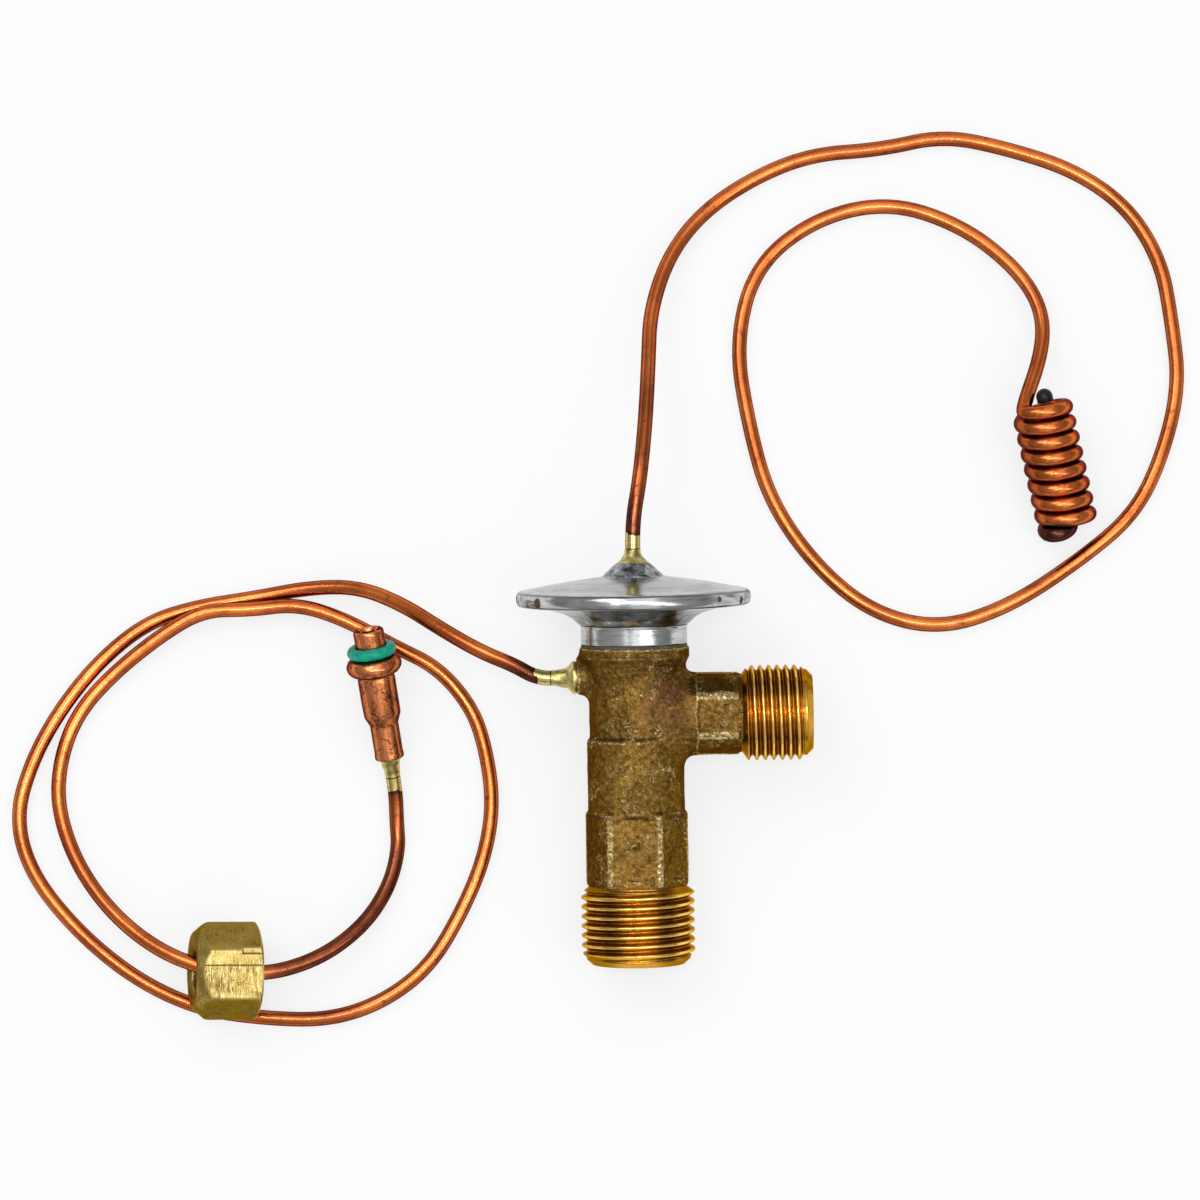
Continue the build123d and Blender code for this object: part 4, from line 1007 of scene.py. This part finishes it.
class VALVE_OT_body(bpy.types.Operator):
    """Build the forged body with its two threaded ends"""

    bl_idname = "valve.body"
    bl_label = "Forged body"

    def execute(self, context):
        self.forging()
        self.outlet()
        self.inlet()
        return {"FINISHED"}

    def forging(self):
        body = skin("forged_body", body_distance, (-10.4, -9.9, 12.0), (18.9, 9.9, 53.4), 0.26, VALVE_FRAME)
        height = sizes().grain / MM
        grain(body, height, 2.4)
        grain(body, height * 0.45, 0.8, 7.0)
        wear = edge_wear(body, 0.09)
        x, y, z = in_frame(body, VALVE_FRAME).T
        corner = np.clip((np.hypot(x, y) - 8.2) / 0.3, 0, 1) * (z < 25.4)
        arm_corner = np.clip((np.hypot(y, z - ARM_Z) - 6.55) / 0.25, 0, 1) * (np.abs(x - 13.5) < 3.4)
        mark(body, "wear", np.maximum(np.maximum(wear, 0), np.maximum(corner, arm_corner)))
        mark(body, "hollow", np.maximum(-wear, 0))
        dress(body, "forged_brass", "valve_body")

    def outlet(self):
        s = sizes()
        crest, pitch = s.outlet_crest / MM, s.outlet_pitch / MM

        def thread(angle, z):
            if z < OUTLET_LEAD_Z:
                return np.full_like(angle, min(OUTLET_LEAD_R, 7.8 + z))
            lead_in = OUTLET_LEAD_R + (z - OUTLET_LEAD_Z) * 0.88
            r = np.minimum(screw(angle, z, crest, pitch, OUTLET_DEPTH), lead_in)
            return np.maximum(np.minimum(r, crest - max(0, z - OUTLET_END_Z) * 1.35), OUTLET_ROOT_R)

        def bore(angle, z):
            return np.full_like(angle, OUTLET_BORE[0] + 0.5 * max(0.0, 0.5 - z) / 0.5)

        stops = [0.0, 0.85, OUTLET_LEAD_Z, 12.8, 13.0]
        piece = threaded("outlet_end", VALVE_FRAME, stops, thread, bore, pitch / THREAD_ROWS)
        self.dress_end(piece, VALVE_FRAME, crest, OUTLET_DEPTH, (-1.0, 1.3), 5.7, 1)

    def inlet(self):
        s = sizes()
        crest, pitch = s.inlet_crest / MM, s.inlet_pitch / MM

        def thread(angle, z):
            if z > INLET_LEAD_X:
                return np.full_like(angle, min(INLET_LEAD_R, INLET_LEAD_R - (z - 28.4)))
            lead_in = INLET_LEAD_R + (INLET_LEAD_X - z)
            r = np.minimum(screw(angle, z, crest, pitch, INLET_DEPTH), lead_in)
            return np.maximum(np.minimum(r, ARM_NECK[0] + max(0, z - INLET_START_X) * 1.5), 6.45)

        def bore(angle, z):
            return np.full_like(angle, INLET_BORE[0] + 0.6 * max(0.0, z - 28.9) / 0.5)

        stops = [17.5, INLET_LEAD_X, 28.4, INLET_FACE_X]
        piece = threaded("inlet_end", ARM_FRAME, stops, thread, bore, pitch / THREAD_ROWS)
        self.dress_end(piece, ARM_FRAME, crest, INLET_DEPTH, (27.6, 30.0), 4.3, 0)

    def dress_end(self, piece, place, crest, depth, plain, bore, up):
        """Marks the crests, the plain lead-in, the bore and the upper side for the finish to read."""
        at = in_frame(piece, place)
        radius = np.hypot(at[:, 0], at[:, 1])
        lead_in = (at[:, 2] > plain[0]) & (at[:, 2] < plain[1]) & (radius > bore)
        high = np.clip((radius - (crest - depth)) / depth, 0, 1)
        mark(piece, "top", -at[:, up] / radius)
        mark(piece, "crest", np.where(lead_in, 0.65, np.where(radius < bore, 0.3, high)))
        dress(piece, "cut_brass", "valve_body", slot="forged_brass")


# Turned outlines of the power head, as radius and height, each closed on itself or on the axis
COLLAR = [(7.6, 53.1), (8.65, 53.1), (8.8, 53.3), (8.8, 55.9), (8.95, 56.3), (7.6, 56.3), (7.6, 53.1)]
LOWER_SHELL = [
    (7.0, 56.3), (8.7, 56.3), (9.2, 56.5), (10.2, 57.5), (11.6, 58.3), (14.0, 59.0), (17.4, 59.6),
    (18.6, 59.6), (18.6, 60.2), (14.0, 59.8), (11.3, 59.1), (9.6, 58.3), (8.6, 57.2), (7.0, 57.1),
    (7.0, 56.3),
]
RIM_FOOT = [(17.2, 59.6), (18.4, 59.5), (19.15, 59.65)]
RIM_LOW, RIM_HIGH = 60.3, 61.2
UPPER_SHELL = [
    (19.2, 61.9), (18.4, 62.2), (17.3, 62.35), (13.5, 63.1), (9.7, 63.7), (6.3, 64.15), (5.0, 64.4),
    (5.0, 63.4), (9.7, 62.9), (17.2, 61.5), (18.3, 60.9), (17.2, 59.6),
]
HEAD_CONE = [
    (0, 63.6), (5.3, 63.6), (5.3, 64.1), (4.75, 64.75), (4.2, 65.25), (3.4, 66.05), (2.67, 66.6),
    (1.8, 66.8), (0, 66.8),
]


class VALVE_OT_head(bpy.types.Operator):
    """Turn the power head: collar, two cups, rim and cone"""

    bl_idname = "valve.head"
    bl_label = "Power head"

    def execute(self, context):
        rim = sizes().rim / MM
        upper = RIM_FOOT + [(rim, RIM_LOW), (rim, RIM_HIGH)] + UPPER_SHELL
        self.turn("head_ring", "head_collar", ease(COLLAR, 0.12))
        self.turn("lower_shell", "lower_cup", ease(LOWER_SHELL, 0.45), 160, 16.5, 2, 0.5)
        self.turn("upper_shell", "upper_cup", ease(upper, 0.45, 5), 224, 18.2, 0.9, 1.0)
        self.turn("head_cone", "capillary_boss", ease(HEAD_CONE, 0.3))
        return {"FINISHED"}

    def turn(self, name, stands_for, outline, turns=160, rust_from=0.0, rust_over=1.0, rust=0.0):
        """Turns one piece and marks how far its rim may rust."""
        piece = lathe(name, outline, VALVE_FRAME, turns)
        x, y, _ = in_frame(piece, VALVE_FRAME).T
        mark(piece, "rim", np.clip((np.hypot(x, y) - rust_from) / rust_over, 0, 1) * rust)
        dress(piece, "zinc_steel", stands_for)


BRAZE_STEPS = 16
BRAZE_TUBE_R = 1.32
BULB_AT, BULB_WIDTH = 0.17, 0.13


def braze_cone(name, foot, reach, seed, place, bulb=0.0):
    """A braze fillet: a concave cone that runs out along the tube, slightly lumpy."""
    outline = [(0, -0.4), (foot * 0.9, -0.4), (foot, 0.0)]
    for k in range(1, BRAZE_STEPS + 1):
        t = k / BRAZE_STEPS
        swell = bulb * math.exp(-(((t - BULB_AT) / BULB_WIDTH) ** 2))
        outline.append((BRAZE_TUBE_R + (foot - BRAZE_TUBE_R) * (1 - t) ** 2.1 + swell, reach * t))
    outline += [(BRAZE_TUBE_R * 0.9, reach + 0.08), (0, reach + 0.08)]

    def lumps(angles, z):
        fade = min(1.0, max(0.0, (reach + 0.05 - z) / (reach * 0.4)))
        lump = [noise.noise((math.cos(a) * 1.3 + seed, math.sin(a) * 1.3, z * 0.9)) for a in angles]
        return np.array(lump) * 0.12 * fade * (foot / 3 + 0.3)

    return lathe(name, outline, place, 96, lumps)


class VALVE_OT_braze(bpy.types.Operator):
    """Lay the braze joints of the head and of the side boss"""

    bl_idname = "valve.braze"
    bl_label = "Braze joints"

    def execute(self, context):
        lift = VALVE_FRAME @ Matrix.Translation((0, 0, 66.6))
        dress(braze_cone("head_braze", 2.62, 2.2, 1.0, lift), "braze", "capillary_braze")
        lift = BOSS_FRAME @ Matrix.Translation((0, 0, BOSS[2]))
        dress(braze_cone("side_braze", 2.6, 4.3, 5.0, lift, bulb=0.55), "braze", "equaliser_braze")
        return {"FINISHED"}


# The union nut, along its axis from the left face. A bar is its radius and its two ends
NUT_ACROSS, NUT_CORNER_R = 14.3, 8.25
NUT_BORE, NUT_SOCKET = (3.4, -4.0, 6.0), (4.9, 4.0, 16.0)
NUT_FACE_R, NUT_BACK_R, NUT_BORE_LIP_R, NUT_SOCKET_LIP_R = 6.3, 7.1, 4.4, 5.5
NOTCH_AT, NOTCH_HALF, NOTCH_FROM, NOTCH_FLOOR = 4.1, 0.7, 7.3, 6.75
# The end fitting: its ring seal's middle, its outline from the nose back, and its braze
SEAL_R, SEAL_Z = 3.2, 3.7
FITTING_OUTLINE = [
    (0, 4.9), (1.3, 4.6), (1.65, 4.2), (1.65, 0.7), (1.85, 0.15), (2.15, 0.0), (2.45, 0.12), (2.6, 0.5),
    (2.55, 1.6), (2.6, 3.0), (2.6, 4.7), (3.4, 4.72), (4.2, 5.1), (4.7, 6.1), (4.55, 6.9), (4.0, 7.6),
    (3.3, 7.72), (3.05, 8.0), (3.15, 8.6), (3.15, 12.5), (3.12, 14.9), (2.85, 15.5), (2.5, 16.3),
    (2.4, 16.6), (2.4, 21.6), (2.48, 22.0), (2.46, 22.45), (2.2, 22.6), (0, 22.6),
]
FITTING_BRAZE_Z = 22.6


def nut_distance(x, y, z):
    """Distance to the union nut, in its own frame."""
    r = np.hypot(x, y)
    over, side = turned(x, y, NUT_TURN)
    out = smooth_high(six_flats(over, side, NUT_ACROSS), r - NUT_CORNER_R, 0.2)
    out = smooth_high(out, np.abs(z - NUT_LENGTH / 2) - NUT_LENGTH / 2, 0.25)
    out = smooth_high(out, (r - NUT_FACE_R - z * 0.85) * 0.76, 0.3)
    out = smooth_high(out, (r - NUT_BACK_R - (NUT_LENGTH - z) * 1.9) * 0.47, 0.2)
    notch = smooth_high(np.abs(side - NOTCH_AT) - NOTCH_HALF, NOTCH_FROM - z, 0.1)
    out = smooth_high(out, -smooth_high(notch, NOTCH_FLOOR - over, 0.1), 0.1)
    bore = smooth_low(rod(r, z, *NUT_BORE, 0.1), rod(r, z, *NUT_SOCKET, 0.4), 0.2)
    bore = smooth_low(bore, (r - NUT_BORE_LIP_R + z * 2.2) * 0.41, 0.2)
    bore = smooth_low(bore, (r - NUT_SOCKET_LIP_R - (z - 10.7)) * 0.7 + (z < 9) * 5, 0.1)
    return smooth_high(out, -bore, 0.2)


class VALVE_OT_equaliser(bpy.types.Operator):
    """Lay the equaliser tube with its union nut and end fitting"""

    bl_idname = "valve.equaliser"
    bl_label = "Equaliser tube"

    def execute(self, context):
        nut, fitting, seal = self.nut(), self.fitting(), self.seal()
        lift = FITTING_FRAME @ Matrix.Translation((0, 0, FITTING_BRAZE_Z))
        braze = dress(braze_cone("fitting_cone", 1.9, 2.6, 9.0, lift), "braze", "fitting_braze")
        end = [FITTING_FRAME @ Vector((0, 0, FITTING_LENGTH + more)) for more in (3.6, 0)]
        cord = cord_curve("equaliser", EQUALISER_ROUTE + end, "equaliser_copper")
        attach(cord, "valve")
        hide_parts("equaliser_tube")
        return {"FINISHED"}

    def nut(self):
        nut = skin("line_nut", nut_distance, (-8.9, -8.9, -0.6), (8.9, 8.9, 11.6), 0.2, NUT_FRAME)
        grain(nut, 0.035, 1.8)
        wear = edge_wear(nut, 0.09)
        mark(nut, "wear", np.maximum(wear, 0))
        mark(nut, "hollow", np.maximum(-wear, 0))
        return dress(nut, "pale_brass", "union_nut", body="line_nut")

    def fitting(self):
        def dents(angles, z):
            dent = [noise.noise((math.cos(a) * 1.1, math.sin(a) * 1.1, z * 0.45)) for a in angles]
            return np.array(dent) * 0.05

        piece = lathe("end_piece", ease(FITTING_OUTLINE, 0.3, 3), FITTING_FRAME, 144, dents)
        return dress(piece, "fitting_copper", "end_fitting", slot="copper")

    def seal(self):
        section = sizes().seal / MM
        around = np.linspace(0, 2 * math.pi, 33)
        outline = [(SEAL_R + section * math.cos(a), SEAL_Z + section * math.sin(a)) for a in around]
        return dress(lathe("ring_seal", outline, FITTING_FRAME, 128), "green_rubber", "fitting_o_ring")


# The spring in the valve's own frame, and how much of its length the stroke takes
SPRING_WIRE_R, SPRING_R, SPRING_FOOT, SPRING_LENGTH, SPRING_TURNS = 0.54, 3.5, 10.7, 12.6, 6.0
SPRING_STROKE, SPRING_GROUND = 0.5, 0.02
SPRING_STEPS, WIRE_STEPS = 264, 14


class VALVE_OT_spring(bpy.types.Operator):
    """Wind the spring"""

    bl_idname = "valve.spring"
    bl_label = "Superheat spring"

    def execute(self, context):
        points, faces = [], []
        low, high = SPRING_FOOT + SPRING_GROUND, SPRING_FOOT + SPRING_LENGTH - SPRING_GROUND
        for k in range(SPRING_STEPS + 1):
            t = k / SPRING_STEPS
            a = 2 * math.pi * SPRING_TURNS * t
            rise = t - 0.055 * math.sin(2 * math.pi * t)
            height = SPRING_FOOT + SPRING_WIRE_R + (SPRING_LENGTH - 2 * SPRING_WIRE_R) * rise
            for j in range(WIRE_STEPS):
                b = 2 * math.pi * j / WIRE_STEPS
                r = SPRING_R + SPRING_WIRE_R * math.cos(b)
                z = height + SPRING_WIRE_R * math.sin(b)
                points.append((r * math.cos(a), r * math.sin(a), min(max(z, low), high)))
        for k in range(SPRING_STEPS):
            near, far = k * WIRE_STEPS, (k + 1) * WIRE_STEPS
            for j in range(WIRE_STEPS):
                n = (j + 1) % WIRE_STEPS
                faces.append((near + j, near + n, far + n, far + j))
        faces += [range(WIRE_STEPS), range(SPRING_STEPS * WIRE_STEPS, len(points))]
        spring = keep("spring", points, faces, VALVE_FRAME)
        face_outward(spring)
        dress(spring, "stainless", "superheat_spring")
        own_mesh(spring)
        return {"FINISHED"}


INNER_FINISHES = {
    "valve_seat": "inner_brass", "valve_ball": "stainless", "ball_carrier": "inner_brass",
    "adjusting_nut": "inner_brass", "push_pin": "stainless", "pin_seal": "black_rubber",
    "seal_retainer": "stainless", "head_gasket": "gasket_fibre", "diaphragm": "stainless",
    "thrust_plate": "stainless", "inlet_strainer": "stainless",
}


class VALVE_OT_inner(bpy.types.Operator):
    """Give the inner pieces their finishes"""

    bl_idname = "valve.inner"
    bl_label = "Inner pieces"

    def execute(self, context):
        for name, finish in INNER_FINISHES.items():
            give_finish(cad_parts[name], finish)
        return {"FINISHED"}


# Lamps: place, what they look at, width, height and power
LAMPS = {
    "key": ((-0.45, 0.4, 1.0), (0, 0.02, 0), 0.55, 0.55, 2.4),
    "fill": ((0.55, -0.3, 0.95), (0, 0.02, 0), 0.25, 0.6, 1.3),
    "strip_left": ((-0.15, -0.05, 1.15), (-0.01, 0.0, 0), 0.05, 0.45, 1.7),
    "strip_right": ((0.11, -0.05, 1.15), (-0.01, 0.0, 0), 0.03, 0.45, 1.0),
}
# The studio's walls, from below to above, and the share of the floor that shows as plain white
WALL_TONES = [(0.0, (0.34,) * 3), (0.3, (0.35,) * 3), (0.78, (0.46,) * 3), (0.96, (0.74,) * 3)]
FLOOR_HALF, FLOOR_DROP, FLOOR_WHITE, FLOOR_GLOW = 6, 0.00005, 0.75, 0.98
CAMERA_AT = (-10.488, -85.822, 973.189)
CAMERA_LENS, CAMERA_SENSOR = 174, 36
CAMERA_TILT, CAMERA_ROLL = math.radians(6.7), 0.015125


class VALVE_OT_stage(bpy.types.Operator):
    """Set the floor, the soft light and the camera"""

    bl_idname = "valve.stage"
    bl_label = "Stage"

    def execute(self, context):
        self.floor()
        for name, values in LAMPS.items():
            self.lamp(name, *values)
        self.studio()
        self.camera()
        context.scene.view_settings.view_transform = "Standard"
        return {"FINISHED"}

    def floor(self):
        h = FLOOR_HALF
        mesh = bpy.data.meshes.new("floor")
        mesh.from_pydata([(-h, -h, 0), (h, -h, 0), (h, h, 0), (-h, h, 0)], [], [(0, 1, 2, 3)])
        floor = bpy.data.objects.new("floor", mesh)
        floor.location.z = -FLOOR_DROP
        bpy.context.scene.collection.objects.link(floor)
        f = Finish("floor_paper")
        paper = f.mix(f.noise(900.0, 2), (0.97, 0.97, 0.97), (0.985, 0.985, 0.985))
        lit = f.make("ShaderNodeBsdfDiffuse", {}, {"Color": paper}, "BSDF")
        white = f.make("ShaderNodeEmission", {}, {"Strength": FLOOR_GLOW}, "Emission")
        rays = ("Is Camera Ray", "Is Glossy Ray", "Is Transmission Ray")
        seen, shone, through = (f.make("ShaderNodeLightPath", {}, {}, ray) for ray in rays)
        share = seen.largest(shone).largest(through) * FLOOR_WHITE
        both = f.make("ShaderNodeMixShader", {}, {0: share, 1: lit, 2: white})
        f.make("ShaderNodeOutputMaterial", {}, {"Surface": both})
        mesh.materials.append(f.material)

    def lamp(self, name, at, target, width, height, power):
        data = bpy.data.lights.new(name, "AREA")
        data.shape, data.size, data.size_y = "RECTANGLE", width, height
        data.energy = power
        piece = bpy.data.objects.new(name, data)
        piece.location = at
        piece.rotation_euler = (Vector(target) - Vector(at)).to_track_quat("-Z", "Y").to_euler()
        bpy.context.scene.collection.objects.link(piece)

    def studio(self):
        """Plain walls with a wide and a thin pale band, which give the metal its streaks."""
        world = bpy.data.worlds.new("studio")
        bpy.context.scene.world = world
        world.use_nodes = True
        tree = world.node_tree
        tree.nodes.clear()
        ways = node(tree, "ShaderNodeTexCoord", {}, {}, "Generated")
        up = node(tree, "ShaderNodeSeparateXYZ", {}, {"Vector": ways}, "Z")
        across = node(tree, "ShaderNodeSeparateXYZ", {}, {"Vector": ways}, "X")
        tone = node(tree, "ShaderNodeValToRGB", {"stops": WALL_TONES}, {"Fac": up}, "Color")
        wide = across.between(-0.07, -0.03) * across.between(0.45, 0.35)
        thin = across.between(-0.36, -0.34) * across.between(-0.25, -0.27)
        tone = tone * ((wide + thin) * up.between(0.15, 0.3) * 1.1 + 0.86)
        glow = node(tree, "ShaderNodeBackground", {}, {"Color": tone, "Strength": 1.0}, "Background")
        node(tree, "ShaderNodeOutputWorld", {}, {"Surface": glow})

    def camera(self):
        """Stands the camera over the valve, tilted and rolled as in the photo."""
        data = bpy.data.cameras.new("photo_camera")
        data.lens, data.sensor_width, data.sensor_height = CAMERA_LENS, CAMERA_SENSOR, CAMERA_SENSOR
        data.sensor_fit = "HORIZONTAL"
        camera = bpy.data.objects.new("photo_camera", data)
        bpy.context.scene.collection.objects.link(camera)
        right = Vector((1, 0, 0))
        up = Vector((0, math.cos(CAMERA_TILT), math.sin(CAMERA_TILT)))
        ahead = Vector((0, math.sin(CAMERA_TILT), -math.cos(CAMERA_TILT)))
        c, s = math.cos(CAMERA_ROLL), math.sin(CAMERA_ROLL)
        at = Vector(CAMERA_AT) * MM
        camera.matrix_world = frame_of(c * right - s * up, c * up + s * right, -ahead, at)
        bpy.context.scene.camera = camera


class VALVE_PT_panel(bpy.types.Panel):
    """Lists the steps and the sizes and colours"""

    bl_idname = "VALVE_PT_panel"
    bl_label = "Expansion valve"
    bl_space_type = "VIEW_3D"
    bl_region_type = "UI"
    bl_category = "Valve"

    def draw(self, context):
        for operator in OPERATORS:
            self.layout.operator(operator.bl_idname)
        for group in (context.scene.valve_sizes, context.scene.valve_colours):
            box = self.layout.box()
            for key in group.__annotations__:
                box.prop(group, key)


OPERATORS = (
    VALVE_OT_finishes, VALVE_OT_capillary, VALVE_OT_equaliser, VALVE_OT_body, VALVE_OT_head,
    VALVE_OT_braze, VALVE_OT_spring, VALVE_OT_inner, VALVE_OT_stage,
)
CLASSES = (ValveColours, ValveSizes, *OPERATORS, VALVE_PT_panel)


def register():
    for cls in CLASSES:
        bpy.utils.register_class(cls)
    bpy.types.Scene.valve_colours = bpy.props.PointerProperty(type=ValveColours)
    bpy.types.Scene.valve_sizes = bpy.props.PointerProperty(type=ValveSizes)


def unregister():
    del bpy.types.Scene.valve_sizes
    del bpy.types.Scene.valve_colours
    for cls in reversed(CLASSES):
        bpy.utils.unregister_class(cls)


def main():
    register()
    for operator in OPERATORS:
        group, name = operator.bl_idname.split(".")
        getattr(getattr(bpy.ops, group), name)()
    bpy.context.view_layer.update()


if __name__ == "__main__":
    main()
